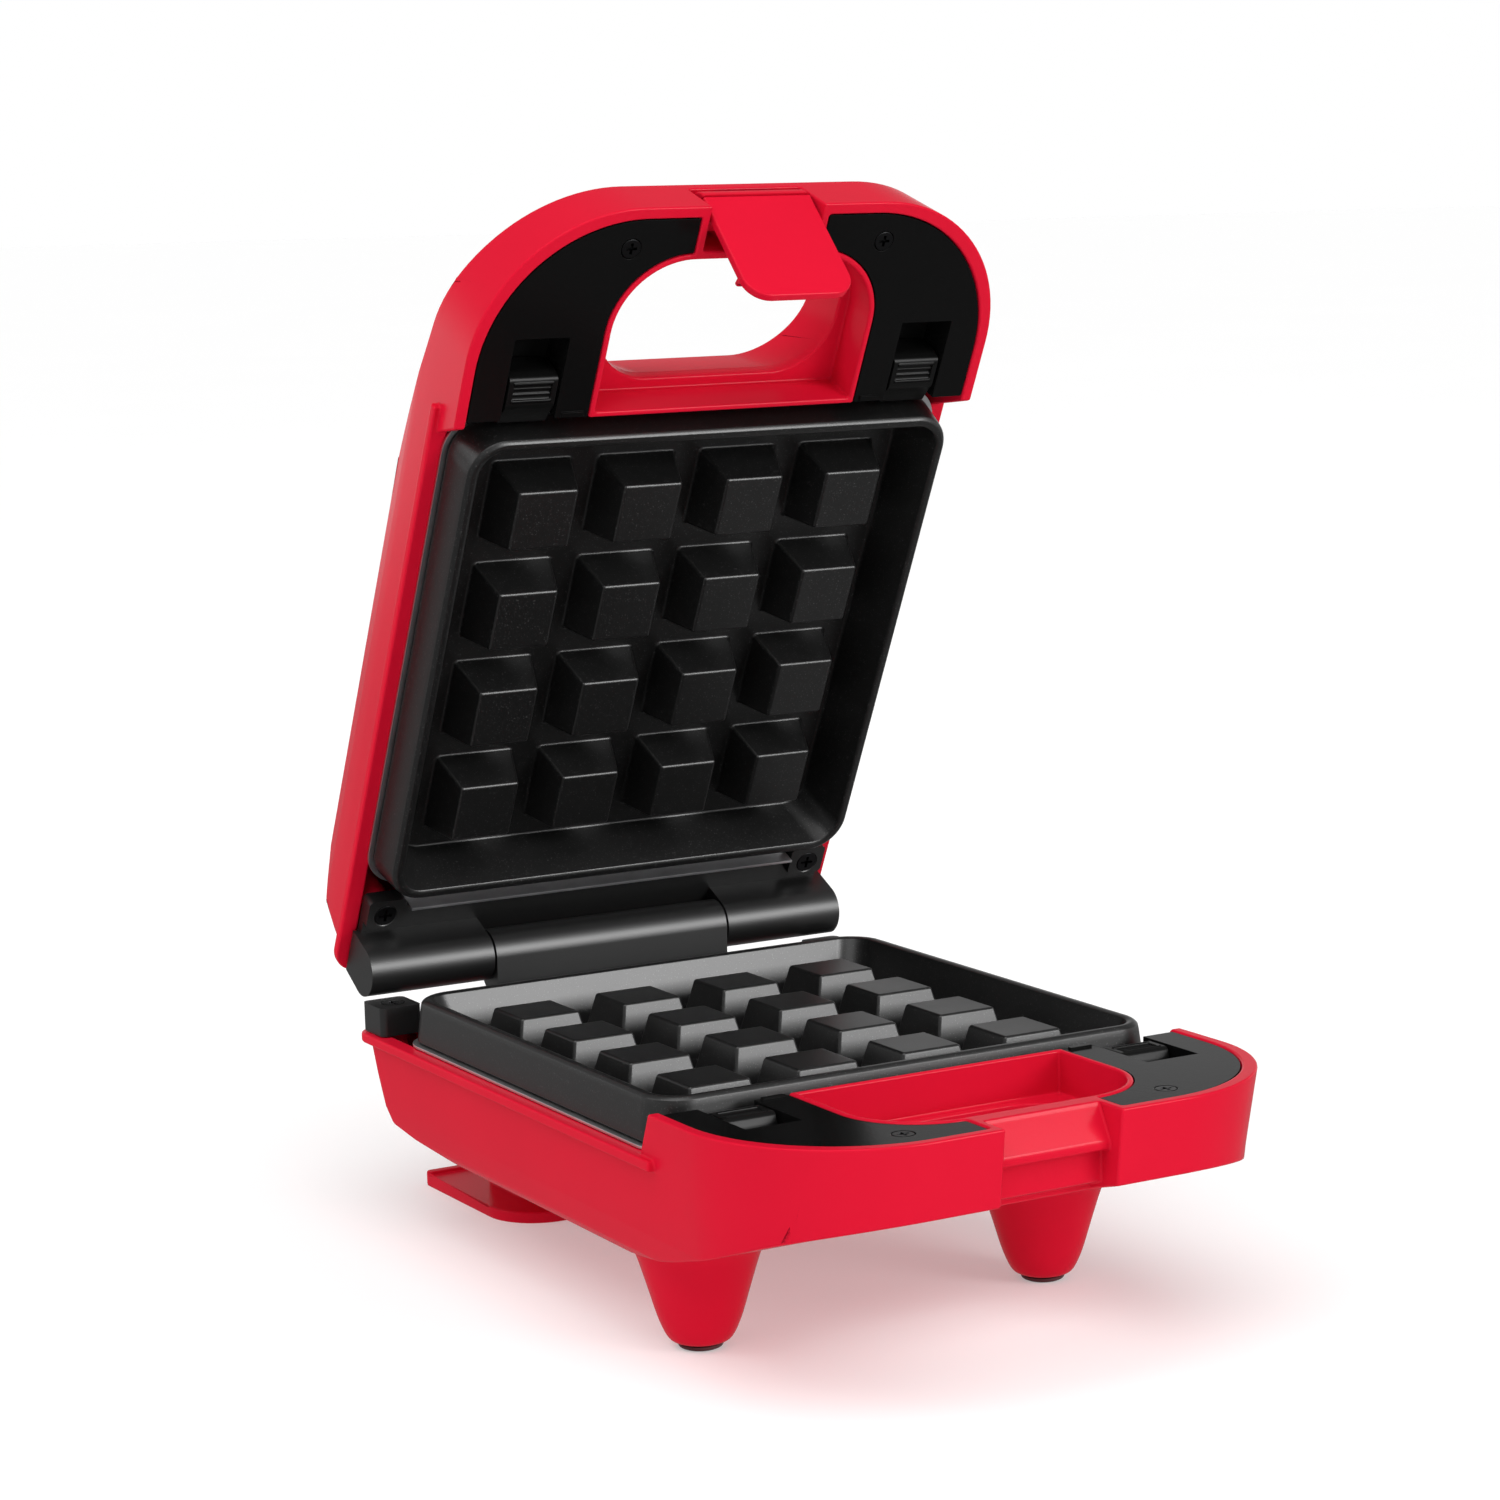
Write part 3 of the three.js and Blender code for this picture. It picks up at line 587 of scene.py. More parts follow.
@dataclass(frozen=True)
class MouldedPlastic(Finish):
    """Moulded plastic: a faint orange peel, and gloss that wanders slightly."""

    roughness: float = 0.3
    wander: float = 0.06
    peel_mm: float = 0.9
    peel_depth_mm: float = 0.012
    specular: float = 0.5

    def build(self, graph: Graph) -> None:
        """Builds the nodes."""
        flow = graph.noise(38, 3)
        peel = graph.noise(self.peel_mm, 2)
        graph.surface(
            base_color=graph.tint(flow, self.shade(0.94), self.shade(1.05)),
            roughness=flow * self.wander + (self.roughness - self.wander / 2),
            specular_ior_level=self.specular,
            normal=graph.bump(peel, self.peel_depth_mm),
        )


@dataclass(frozen=True)
class NonStickCoating(Finish):
    """Sprayed non-stick coating: a fine grain, and sparse pale flecks."""

    fleck: Color = (0.05, 0.05, 0.05)
    roughness: float = 0.34

    def build(self, graph: Graph) -> None:
        """Builds the nodes."""
        grain = graph.noise(0.4, 3)
        flecks = graph.noise(0.35, 1) > 0.69
        cloud = graph.noise(22, 3)
        shade = graph.tint(flecks, self.color, self.fleck)
        graph.surface(
            base_color=shade,
            roughness=cloud * 0.1 + flecks * 0.08 + (self.roughness - 0.05),
            specular_ior_level=0.45,
            normal=graph.bump(grain, 0.02, 0.8),
        )


@dataclass(frozen=True)
class Sheet(Finish):
    """Metal: brushed along X, or dull when it is rough."""

    roughness: float = 0.3
    brush_mm: float = 0.5
    stretch: float = 0.06

    def build(self, graph: Graph) -> None:
        """Builds the nodes."""
        lines = graph.noise(self.brush_mm, 2, (self.stretch, 1, 1))
        cloud = graph.noise(9, 3)
        graph.surface(
            base_color=graph.tint(cloud, self.shade(0.86), self.shade(1.08)),
            metallic=1.0,
            roughness=lines * 0.12 + cloud * 0.08 + (self.roughness - 0.1),
            normal=graph.bump(lines, 0.006),
        )


@dataclass(frozen=True)
class Grainy(Finish):
    """Unglazed, rubbery or painted material with a fine even grain."""

    roughness: float = 0.7
    grain_mm: float = 0.6
    depth_mm: float = 0.03

    def build(self, graph: Graph) -> None:
        """Builds the nodes."""
        grain = graph.noise(self.grain_mm, 4)
        cloud = graph.noise(12, 2)
        graph.surface(
            base_color=graph.tint(cloud, self.shade(0.85), self.shade(1.1)),
            roughness=grain * 0.1 + (self.roughness - 0.05),
            normal=graph.bump(grain, self.depth_mm),
        )


@dataclass(frozen=True)
class LampPlastic(Finish):
    """Clear tinted plastic over a lamp, with a ring of moulded ripples."""

    def build(self, graph: Graph) -> None:
        """Builds the nodes."""
        ripple = graph.noise(0.7, 0)
        graph.surface(
            base_color=graph.tint(ripple, self.shade(0.8), self.shade(1.15)),
            roughness=ripple * 0.06 + 0.06,
            transmission_weight=0.35,
            ior=1.49,
            coat_weight=0.6,
            coat_roughness=0.05,
            normal=graph.bump(ripple, 0.03),
        )


RED = MouldedPlastic(
    "red_moulded_plastic", "red_shell", (0.6, 0.006, 0.026), 0.25, specular=0.05
)
PANEL_BLACK = MouldedPlastic(
    "glossy_black_plastic", "black_panel", (0.004, 0.004, 0.004), 0.15, specular=0.07
)
CLIP_BLACK = MouldedPlastic(
    "satin_black_plastic", "black_clip", (0.004, 0.004, 0.004), 0.3, peel_mm=0.5, specular=0.12
)
HINGE_BLACK = MouldedPlastic(
    "satin_black_paint", "black_hinge", (0.007, 0.007, 0.007), 0.4, peel_mm=0.5, specular=0.5
)
NON_STICK = NonStickCoating("non_stick_coating", "non_stick_plate", (0.006, 0.006, 0.006))
SCREW_STEEL = Sheet("blackened_screw_steel", "screw_steel", (0.02, 0.02, 0.021), 0.34, 0.3, 1.0)
TRAY_STEEL = Sheet("aluminised_sheet", "tray_steel", (0.66, 0.66, 0.67), 0.38)
SHEATH = Sheet("element_sheath_steel", "element_sheath", (0.12, 0.12, 0.125), 0.5, 0.4, 1.0)
CERAMIC = Grainy("unglazed_ceramic", "ceramic", (0.72, 0.66, 0.56))
PAD_RUBBER = Grainy("foot_rubber_grain", "foot_rubber", (0.08, 0.004, 0.008))
AMBER = LampPlastic("amber_lens_plastic", "amber_lens", (0.75, 0.22, 0.01))
GREEN = LampPlastic("green_lens_plastic", "green_lens", (0.03, 0.36, 0.06))


# ---------------------------------------------------------------- shells
@dataclass
class Shell:
    """A red shell: tub, handle, finger hole and screw bosses, as both halves share them."""

    half: Half
    width: float = 138.6
    reach: float = 121.5
    corner: float = 38.0
    rear_corner: float = 6.0
    wall: float = 2.8
    depth: float = 38.0
    top: float = 0.8
    tub_top: float = -9.5
    lip_thickness: float = 2.4
    lip_overhang: float = 0.3
    shoulder: float = -67.5
    shoulder_run: float = 6.5
    hole_half: float = 34.0
    hole_rear: float = -70.0
    hole_front: float = -108.2
    hole_corner: float = 18.0
    ledge_depth: float = 9.0
    ledge: float = 2.6
    hole_wall: float = 1.4
    mouth_top: float = -12.0
    mouth_flare: float = 9.0
    mouth_corner: float = 15.0
    notch_half: float = 14.6
    bar_cheek: float = 2.0
    screw_at: Point = (33.2, -111.3)
    boss_radius: float = 3.6
    bore_radius: float = 1.6
    wall_levels: tuple[Point, ...] = (
        (-38, 11),
        (-36.3, 7.6),
        (-34, 5.6),
        (-28, 3.8),
        (-20, 2.6),
        (-11.9, 1.6),
        (0.8, 0),
    )
    rears: dict[Half, float] = field(default_factory=lambda: {Half.BASE: 86.3, Half.LID: 93.0})
    undersides: dict[Half, tuple[Point, ...]] = field(
        default_factory=lambda: {
            Half.BASE: (
                (-130, -13.5),
                (-105, -20.5),
                (-78, -29.5),
                (-48, -36),
                (0, -38),
                (45, -36.8),
                (95, -29.5),
            ),
            Half.LID: (
                (-130, -12.5),
                (-105, -17.5),
                (-80, -24.5),
                (-45, -33.5),
                (0, -38),
                (60, -36),
                (76, -32.8),
                (87, -26),
                (96, -12),
            ),
        }
    )

    @property
    def rear(self) -> float:
        """How far the shell reaches behind the plate."""
        return self.rears[self.half]

    def plan(self) -> list[tuple[float, float, float]]:
        """The plan outline: a square tub whose front grows into the rounded handle."""
        w = self.width / 2
        return [
            (-w, -self.reach, self.corner),
            (w, -self.reach, self.corner),
            (w, self.rear, self.rear_corner),
            (-w, self.rear, self.rear_corner),
        ]

    def side(self, lift: float, top_handle: float, top_tub: float) -> Form:
        """The side view carried across: the walls step down behind the shoulder."""
        under = [(y, z + lift) for y, z in catmull(self.undersides[self.half], 9)]
        outline = [(under[0][0], top_handle), *under, (under[-1][0], top_tub)]
        outline += [(self.shoulder + self.shoulder_run, top_tub), (self.shoulder, top_handle)]
        return Form.prism(outline, (-90, 90), Axis.X)

    def blank(self) -> Form:
        """The shell's outer shape, solid."""
        wall = Form.drafted(self.plan(), self.wall_levels, 26)
        reach = self.width / 2 + self.lip_overhang
        rim = rectangle((-reach, reach), (self.shoulder, self.rear + self.lip_overhang))
        rim = [(x, y, self.rear_corner + self.lip_overhang if y > 0 else 0) for x, y, _ in rim]
        lip = Form.prism(rim, (self.tub_top - self.lip_thickness, self.tub_top))
        return (wall + lip) & self.side(0, self.top, self.tub_top)

    def hollow(self) -> Form:
        """The space inside the walls."""
        levels = [(height, inset + self.wall) for height, inset in self.wall_levels]
        levels[0] = (-self.depth - 2, levels[0][1])
        levels.append((40, self.wall))
        return Form.drafted(self.plan(), levels, 26) & self.side(self.wall, 30, 30)

    def hole(self, grow: float, z: Span) -> Form:
        """The finger hole's plan: straight at the plate's side, round at the front."""
        half, front, corner = self.hole_half + grow, self.hole_front - grow, self.hole_corner + grow
        rear = self.hole_rear + grow
        plan = [(-half, front, corner), (half, front, corner), (half, rear), (-half, rear)]
        return Form.prism(plan, z, steps=20)

    def mouth(self, grow: float) -> Form:
        """The way out of the hole below its ledge; its plate-side wall leans away on the way down."""
        half = self.hole_half - self.ledge + grow
        front = self.hole_front + self.ledge / 2 - grow
        rear = self.hole_rear - self.ledge + grow
        plan = rectangle((-half, half), (front, rear), self.mouth_corner + grow)
        form = Form.prism(plan, (-self.depth, self.mouth_top), steps=16)
        low = [v for v in form.bm.verts if v.co.z < self.mouth_top - 1 and v.co.y > (front + rear) / 2]
        bmesh.ops.translate(form.bm, vec=(0, self.mouth_flare, 0), verts=low)
        return form + Form.prism(plan, (self.mouth_top - 0.1, 20), steps=16)

    def bosses(self, hinge_screws: Point) -> list[Form]:
        """The bosses that the panel screws and the hinge screws bite into."""
        return self.under_screws(hinge_screws, self.boss_radius, (-26, -1.8), (-26, 20), 28)

    def bores(self, hinge_screws: Point) -> Form:
        """The screws' pilot bores, as one loose set."""
        made = self.under_screws(hinge_screws, self.bore_radius, (-11, 10), (-20, 10), 8)
        return made[0].with_loose(made[1:])

    def under_screws(
        self, hinge_screws: Point, radius: float, panel: Span, hinge: Span, steps: int
    ) -> list[Form]:
        """One rod on the line of each screw.

        Args:
            hinge_screws: Where the right hinge screw stands.
            radius: The rods' radius.
            panel: The span of the rods on the panel screws.
            hinge: The span of the rods on the hinge screws.
            steps: Facets round each rod.

        Returns:
            The rods, left ones first.
        """
        return [
            Form.rod(Axis.Z, span, (side * at[0], at[1]), radius, steps=steps)
            for _, side in SIDES
            for at, span in ((self.screw_at, panel), (hinge_screws, hinge))
        ]

    def body(self, outer: Form, hinge_screws: Point) -> Form:
        """Hollows an outer shape, and leaves the finger hole's wall, the latch bar and the bosses.

        Args:
            outer: The solid outer shape.
            hinge_screws: Where the hinge bracket's screws go in.

        Returns:
            The moulding.
        """
        inside = self.hollow() - self.hole(self.hole_wall, (-60, 60)) - self.mouth(self.hole_wall)
        cheek = self.notch_half + self.bar_cheek
        inside -= Form.block((-cheek, cheek), (-self.reach - 9, self.hole_front), (-60, 60))
        for boss in self.bosses(hinge_screws):
            inside = inside - boss
        body = outer - inside - self.hole(0, (-self.ledge_depth, 20)) - self.mouth(0)
        return body - self.bores(hinge_screws)


@dataclass
class BaseShell:
    """The base housing with its catch, feet and cord wrap."""

    shell: Shell = field(default_factory=lambda: Shell(Half.BASE))
    floor: float = -60.0
    foot_at: Point = (45.7, -45.0)
    foot_curve: tuple[Point, ...] = (
        (18.4, -32.6),
        (16.2, -34.6),
        (14.2, -37.6),
        (11.8, -45),
        (9.7, -52),
        (8.2, -55.8),
        (6.9, -57.8),
    )
    pad: float = 1.2
    wrap_half: float = 39.5
    wrap_span: Span = (62.0, 114.0)
    wrap_thickness: float = 3.0
    wrap_lip: float = 0.8
    wrap_corner: float = 14.0
    stem_inset: float = 10.0
    stem_front: float = 70.0
    stem_top: float = -31.0
    post_at: Point = (62.5, 78.0)
    gland_z: float = -21.5
    gland_radius: float = 6.2
    catch_run: float = 7.5
    catch_crest: Point = (-112.8, 1.2)
    catch_points: Corners = (
        (-117.2, -7.3, 0.9),
        (-116.8, -8.8, 0.4),
        (-113.6, -9.3),
        (-113.6, -16.4),
        (-109.7, -17.8),
    )
    clear: float = 9.0

    def catch(self) -> Form:
        """The ramp that the latch rides over and the nose that it hooks under."""
        front, top = self.shell.hole_front + self.catch_run, self.shell.top
        crest, radius = self.catch_crest
        outline = [(front, top + self.clear), (crest, top + self.clear), (crest, top, radius), *self.catch_points]
        outline.append((front, self.catch_points[-1][1]))
        half = self.shell.notch_half + 0.5
        return Form.prism(outline, (-half, half), Axis.X, 5)

    def foot(self, side: int) -> Form:
        """A tapered foot that flares into the tub and rounds in at its tip."""
        tip = self.floor + self.pad + 0.3
        curve = catmull((*self.foot_curve, (5.4, tip)), 5)
        profile = [(0, -30), (18.4, -30), *curve, (0, tip)]
        return Form.turned_profile(profile, Vector((side * self.foot_at[0], self.foot_at[1], 0)), steps=64)

    def cord_wrap(self) -> Form:
        """The rear foot: a flange with a raised rear edge, and the stem that the cord is wound round."""
        half, (front, rear) = self.wrap_half, self.wrap_span
        corner = self.wrap_corner
        corners = [(-half, front, corner), (half, front, corner), (half, rear, 1.5), (-half, rear, 1.5)]
        flange = Form.prism(corners, (self.floor, self.floor + self.wrap_thickness))
        raised = self.floor + self.wrap_thickness + self.wrap_lip
        lip = Form.block((-half, half), (rear - self.wrap_thickness, rear), (self.floor, raised), 1.4)
        stem_half = half - self.stem_inset
        plan = rectangle((-stem_half, stem_half), (self.stem_front, rear - self.stem_inset), corner - 4)
        stem = Form.prism(plan, (self.floor + 1, self.stem_top))
        return flange + lip + stem

    def build(self) -> None:
        """Makes the base housing."""
        shell = self.shell
        outer = shell.blank() + self.cord_wrap()
        for _, side in SIDES:
            outer += self.foot(side)
        body = shell.body(outer, self.post_at)
        notch = Form.block((-shell.notch_half, shell.notch_half), (-FAR, shell.hole_front - 1), (-80, 40))
        body = body - (notch - self.catch())
        body -= Form.rod(Axis.Y, (70, 100), (0, self.gland_z), self.gland_radius, steps=40)
        Piece("base_housing", body, Half.BASE, "base", RED, Edge(0.55))


@dataclass
class LidShell:
    """The lid housing with the latch's notch and the lamp holes."""

    shell: Shell = field(default_factory=lambda: Shell(Half.LID))
    pivot: Point = (-116.6, -6.5)
    pad_at: Point = (60.5, 73.6)
    lamp_at: Point = (8.0, -12.0)
    lamp_radius: float = 3.0
    slot_floor: float = -11.3

    def build(self) -> None:
        """Makes the lid housing."""
        shell, half = self.shell, self.shell.notch_half
        pocket = Form.block((-half, half), (-shell.reach + 2.4, shell.hole_front - 2), (self.slot_floor, 20))
        window = Form.block((-half, half), (-FAR, self.pivot[0]), (self.slot_floor, 20))
        pin = Form.rod(Axis.X, (-half - 1.6, half + 1.6), self.pivot, 1.5, steps=10)
        body = shell.body(shell.blank(), self.pad_at) - (pocket + window + pin)
        for _, side in SIDES:
            at = (side * self.lamp_at[0], self.lamp_at[1])
            body -= Form.rod(Axis.Z, (-60, -25), at, self.lamp_radius + 0.3, steps=32)
        Piece("lid_housing", body, Half.LID, "lid", RED, Edge(0.55))


# ---------------------------------------------------------------- handle panels, screws and clips
@dataclass
class HandlePanel:
    """A glossy black panel let into the handle, with its screw and its plate-release clip."""

    shell: Shell
    word: str
    side: int
    level: float = 0.5
    thickness: float = 2.0
    clearance: float = 0.3
    clip_x: float = 51.0
    clip_width: float = 12.4
    pocket_half: float = 6.9
    pocket_front: float = -89.5
    pocket_floor: float = -9.0
    slide: Corners = (
        (-66.6, -5.2),
        (-66.6, -2.2, 0.6),
        (-70, -0.9, 1.5),
        (-72, 0.3, 0.8),
        (-79.2, 0.3, 0.9),
        (-80.2, -2.4, 0.8),
        (-80.2, -8.6),
        (-70.5, -8.6),
        (-70.5, -5.2),
    )
    scoop_at: Point = (-75.8, 4.1)
    scoop_radius: float = 4.5
    scoop_inset: float = 1.4
    ribs: int = 4
    rib_pitch: float = 1.5
    rib_inset: float = 1.2
    rib_level: float = -0.45
    rib_radius: float = 0.36
    screw_head: float = 2.4

    @property
    def prefix(self) -> str:
        """The half that the panel belongs to."""
        return self.shell.half.value

    def panel(self) -> Form:
        """The panel with its pocket, its countersink and a small rib beside the finger hole."""
        shell, inset = self.shell, self.shell.wall + self.clearance
        inner = self.side * (shell.notch_half + shell.bar_cheek + self.clearance)
        rear = shell.hole_rear + 1.2
        region = Form.block(ordered(inner, self.side * 90), (-FAR, rear), (-80, 40))
        bottom = self.level - self.thickness
        body = Form.drafted(shell.plan(), ((bottom, inset + 0.4), (self.level, inset)), 26) & region
        body = body - shell.hole(shell.hole_wall + self.clearance, (-80, 40))
        x, wall = self.side * self.clip_x, 1.4
        reach = self.pocket_half + wall
        well = Form.block((x - reach, x + reach), (self.pocket_front - wall, rear), (-10.5, self.level - 0.2))
        across = (x - self.pocket_half, x + self.pocket_half)
        inside = Form.block(across, (self.pocket_front, 0), (self.pocket_floor, 10))
        body = (body + well) - inside
        at = (self.side * shell.screw_at[0], shell.screw_at[1])
        sink = Form.rod(Axis.Z, (self.level - 1.4, self.level + 0.1), at, 1.6, self.screw_head + 0.3, 24)
        body = body - sink - Form.rod(Axis.Z, (-5, 5), at, 1.6, steps=24)
        across = ordered(self.side * 37, self.side * 42.7)
        rib = Form.block(across, (rear - 1.6, rear - 0.3), (-0.5, self.level + 0.5))
        return body + rib

    def clip(self) -> Form:
        """The ribbed thumb slide, whose nose reaches over the plate's lug."""
        x, half = self.side * self.clip_x, self.clip_width / 2
        slide = Form.prism(self.slide, (x - half, x + half), Axis.X, 4)
        (y, z), radius, inset = self.scoop_at, self.scoop_radius, self.scoop_inset
        slide -= Form.rod(Axis.X, (x - half + inset, x + half - inset), (y, z), radius, steps=56)
        across = (x - half + self.rib_inset, x + half - self.rib_inset)
        for index in range(self.ribs):
            along = (index - (self.ribs - 1) / 2) * self.rib_pitch
            sag = radius - math.sqrt(radius**2 - along**2)
            slide += Form.rod(Axis.X, across, (y + along, self.rib_level + sag), self.rib_radius, steps=12)
        return slide

    def build(self) -> None:
        """Makes the panel, its screw and its clip."""
        half, body = self.shell.half, self.prefix
        names = [f"{self.prefix}_{kind}_{self.word}" for kind in ("panel", "panel_screw", "clip")]
        Piece(names[0], self.panel(), half, body, PANEL_BLACK, Edge(0.22, clamp=True))
        at = (self.side * self.shell.screw_at[0], self.shell.screw_at[1])
        screw = Screw(at, self.level, 9, self.screw_head)
        Piece(names[1], screw.form(), half, body, SCREW_STEEL, Edge(0.08, 2))
        Piece(names[2], self.clip(), half, names[2], CLIP_BLACK, Edge(0.2, 2))


@dataclass
class Screw:
    """A countersunk cross-head screw that points down, with its head's top at a level."""

    at: Point
    level: float
    length: float
    head: float = 2.9
    shank: float = 1.3
    thread_pitch: float = 0.9

    def form(self) -> Form:
        """The screw: a slightly domed head, a ridged shank and a cross recess."""
        top, bottom = self.level, self.level - self.length
        ridges: list[Point] = []
        z = bottom + 1.2
        while z < top - 2.4:
            ridges += [(self.shank - 0.32, z), (self.shank, z + self.thread_pitch / 2)]
            z += self.thread_pitch
        profile = [(0, bottom), *ridges, (self.shank, top - 1.6)]
        profile += [(self.head, top - 0.15), (self.head - 0.15, top), (0, top)]
        screw = Form.turned_profile(profile, Vector((*self.at, 0)), steps=36)
        x, y = self.at
        arm, slot = self.head * 0.58, 0.34
        first = Form.block((x - arm, x + arm), (y - slot, y + slot), (top - 0.9, top + 1))
        second = Form.block((x - slot, x + slot), (y - arm, y + arm), (top - 0.9, top + 1))
        return screw - (first + second)


# ---------------------------------------------------------------- cooking plates, trays and elements
@dataclass
class CookingSide:
    """A cast plate with its reflector tray and heating element."""

    half: Half
    blocks: int = 4
    pitch: float = 27.5
    block_top: float = 7.67
    block_depth: float = 11.0
    block_draft: float = 2.6
    plate: float = 64.2
    corner: float = 9.0
    rim: float = 2.2
    rim_width: float = 2.6
    wall_draft: float = 4.0
    floor: float = 2.5
    skirt: float = 8.3
    flare: float = 1.0
    skirt_wall: float = 1.5
    lug_x: float = 51.0
    lug_half: float = 4.0
    lug_reach: float = 3.6
    lug_span: Span = (-7.6, -5.6)
    lug_corner: float = 0.8
    tray_inset: float = 2.2
    tray_depth: float = 24.0
    tray_wall: float = 0.7
    tray_corner: float = 10.0
    flange: float = 1.1
    lip_top: float = -3.2
    tongue: Point = (54.5, 71.6)
    element_radius: float = 3.2
    element_level: float = -18.4
    element_half: float = 42.0
    terminal: float = 22.0

    def waffle_plate(self) -> Form:
        """The plate: a drafted pan with blocks, a rounded rim and a skirt round it."""
        mouth = self.plate - self.rim_width
        top = self.rim
        skirt_levels = ((-self.skirt, -self.flare), (0, -0.2), (top - 0.9, 0), (top - 0.3, 0.3), (top, 0.9))
        body = Form.drafted(square(self.plate, self.corner), skirt_levels)
        pan_levels = ((-self.block_depth - self.floor, self.wall_draft + 0.6), (-1, 0.5))
        pan = Form.drafted(square(mouth + self.floor, self.corner), pan_levels)
        groove_levels = ((-self.skirt - 1, -self.flare), (-3.5, 0))
        groove = Form.drafted(square(self.plate - self.skirt_wall, self.corner), groove_levels) - pan
        cavity_levels = [(-self.block_depth, self.wall_draft), (top - 0.9, 0.1)]
        cavity_levels += [(top - 0.3, -0.1), (top + 0.1, -0.5)]
        cavity = Form.drafted(square(mouth, self.corner - self.rim_width), cavity_levels)
        body = (body + pan) - groove - cavity
        return body + self.grid() + self.lugs()

    def grid(self) -> Form:
        """The waffle blocks, as one loose set."""
        first = -(self.blocks - 1) / 2 * self.pitch
        root = self.block_top + self.block_draft
        made: list[Form] = []
        for i in range(self.blocks):
            for j in range(self.blocks):
                x, y = first + i * self.pitch, first + j * self.pitch
                outline = rectangle((x - root, x + root), (y - root, y + root), 0.9)
                levels = ((-self.block_depth - 1, -0.25), (0, self.block_draft))
                made.append(Form.drafted(outline, levels, 3))
        return made[0].with_loose(made[1:])

    def lugs(self) -> Form:
        """The two lugs at the handle's side that the clips hold."""
        half, reach, corner = self.lug_half, self.lug_reach, self.lug_corner
        along = (-self.plate - reach, -self.plate + 1)
        lugs = [
            Form.block((side * self.lug_x - half, side * self.lug_x + half), along, self.lug_span, corner)
            for _, side in SIDES
        ]
        return lugs[0].with_loose(lugs[1:])

    def tray(self) -> Form:
        """The pressed tray with its flange and the tongue that meets the hinge bracket."""
        top, inner = -self.skirt - 0.3, self.plate - self.tray_inset
        sheet = (top - self.tray_wall, top)
        flange = Form.prism(square(self.plate + self.flare + self.flange, self.tray_corner), sheet)
        across, rear = (-self.tongue[0], self.tongue[0]), self.tongue[1]
        flange += Form.block(across, (rear - self.tray_wall, rear), (top - 0.2, self.lip_top))
        flange += Form.block(across, (inner, rear), sheet)
        wall = self.tray_wall
        pan_levels = ((-self.tray_depth - wall, 2 - wall), (top - wall / 2, -wall))
        body = flange + Form.drafted(square(inner, self.tray_corner), pan_levels)
        body -= Form.drafted(square(inner, self.tray_corner), ((-self.tray_depth, 2), (top + 1, 0)))
        gap = self.element_radius + 1
        for _, side in SIDES:
            x = side * self.terminal
            slot = Form.rod(Axis.Y, (-70, -40), (x, self.element_level), gap, steps=32)
            body = body - (slot + Form.block((x - gap, x + gap), (-70, -40), (self.element_level, -12)))
        return body

    def element(self) -> Form:
        """The sheathed element: one bend round the pan, with both ends leaving towards the handle."""
        half, end, radius = self.element_half, -64.5, self.element_radius
        corners = [(-self.terminal, end), (-self.terminal, -half), (-half, -half), (-half, half)]
        corners += [(-x, y) for x, y in reversed(corners)]
        path = bpy.data.curves.new("element_path", "CURVE")
        path.dimensions = "3D"
        path.bevel_depth = radius
        path.bevel_resolution = 5
        path.use_fill_caps = True
        spline = path.splines.new("POLY")
        route = self._route(corners)
        spline.points.add(len(route) - 1)
        for point, place in zip(spline.points, route):
            point.co = (*place, self.element_level, 1)
        holder = bpy.data.objects.new("element_path", path)
        bm = bmesh.new()
        bm.from_mesh(holder.to_mesh())
        bpy.data.objects.remove(holder)
        bmesh.ops.remove_doubles(bm, verts=bm.verts[:], dist=DOUBLES)
        return Form(bm).facing_out()

    def _route(self, corners: Sequence[Point]) -> list[Point]:
        """Rounds the corners of the element's centre line.

        Args:
            corners: The corners of the line, ends included.

        Returns:
            The points of the rounded line.
        """
        route = [corners[0]]
        for before, corner, after in zip(corners, corners[1:], corners[2:]):
            here = Vector(corner)
            back, ahead = Vector(before) - here, Vector(after) - here
            reach = min(12.0, back.length / 2.1, ahead.length / 2.1)
            start, stop = here + back.normalized() * reach, here + ahead.normalized() * reach
            for step in range(9):
                t = step / 8
                route.append(tuple(start.lerp(here, t).lerp(here.lerp(stop, t), t)))
        route.append(corners[-1])
        return route

    def build(self) -> None:
        """Makes the plate, the tray and the element."""
        word = self.half.value
        names = [f"{word}_{kind}" for kind in ("waffle_plate", "reflector_tray", "heating_element")]
        Piece(names[0], self.waffle_plate(), self.half, word, NON_STICK, Edge(0.6, 4))
        Piece(names[1], self.tray(), self.half, word, TRAY_STEEL, Edge(0.12, 2))
        Piece(names[2], self.element(), self.half, word, SHEATH, Edge(0))


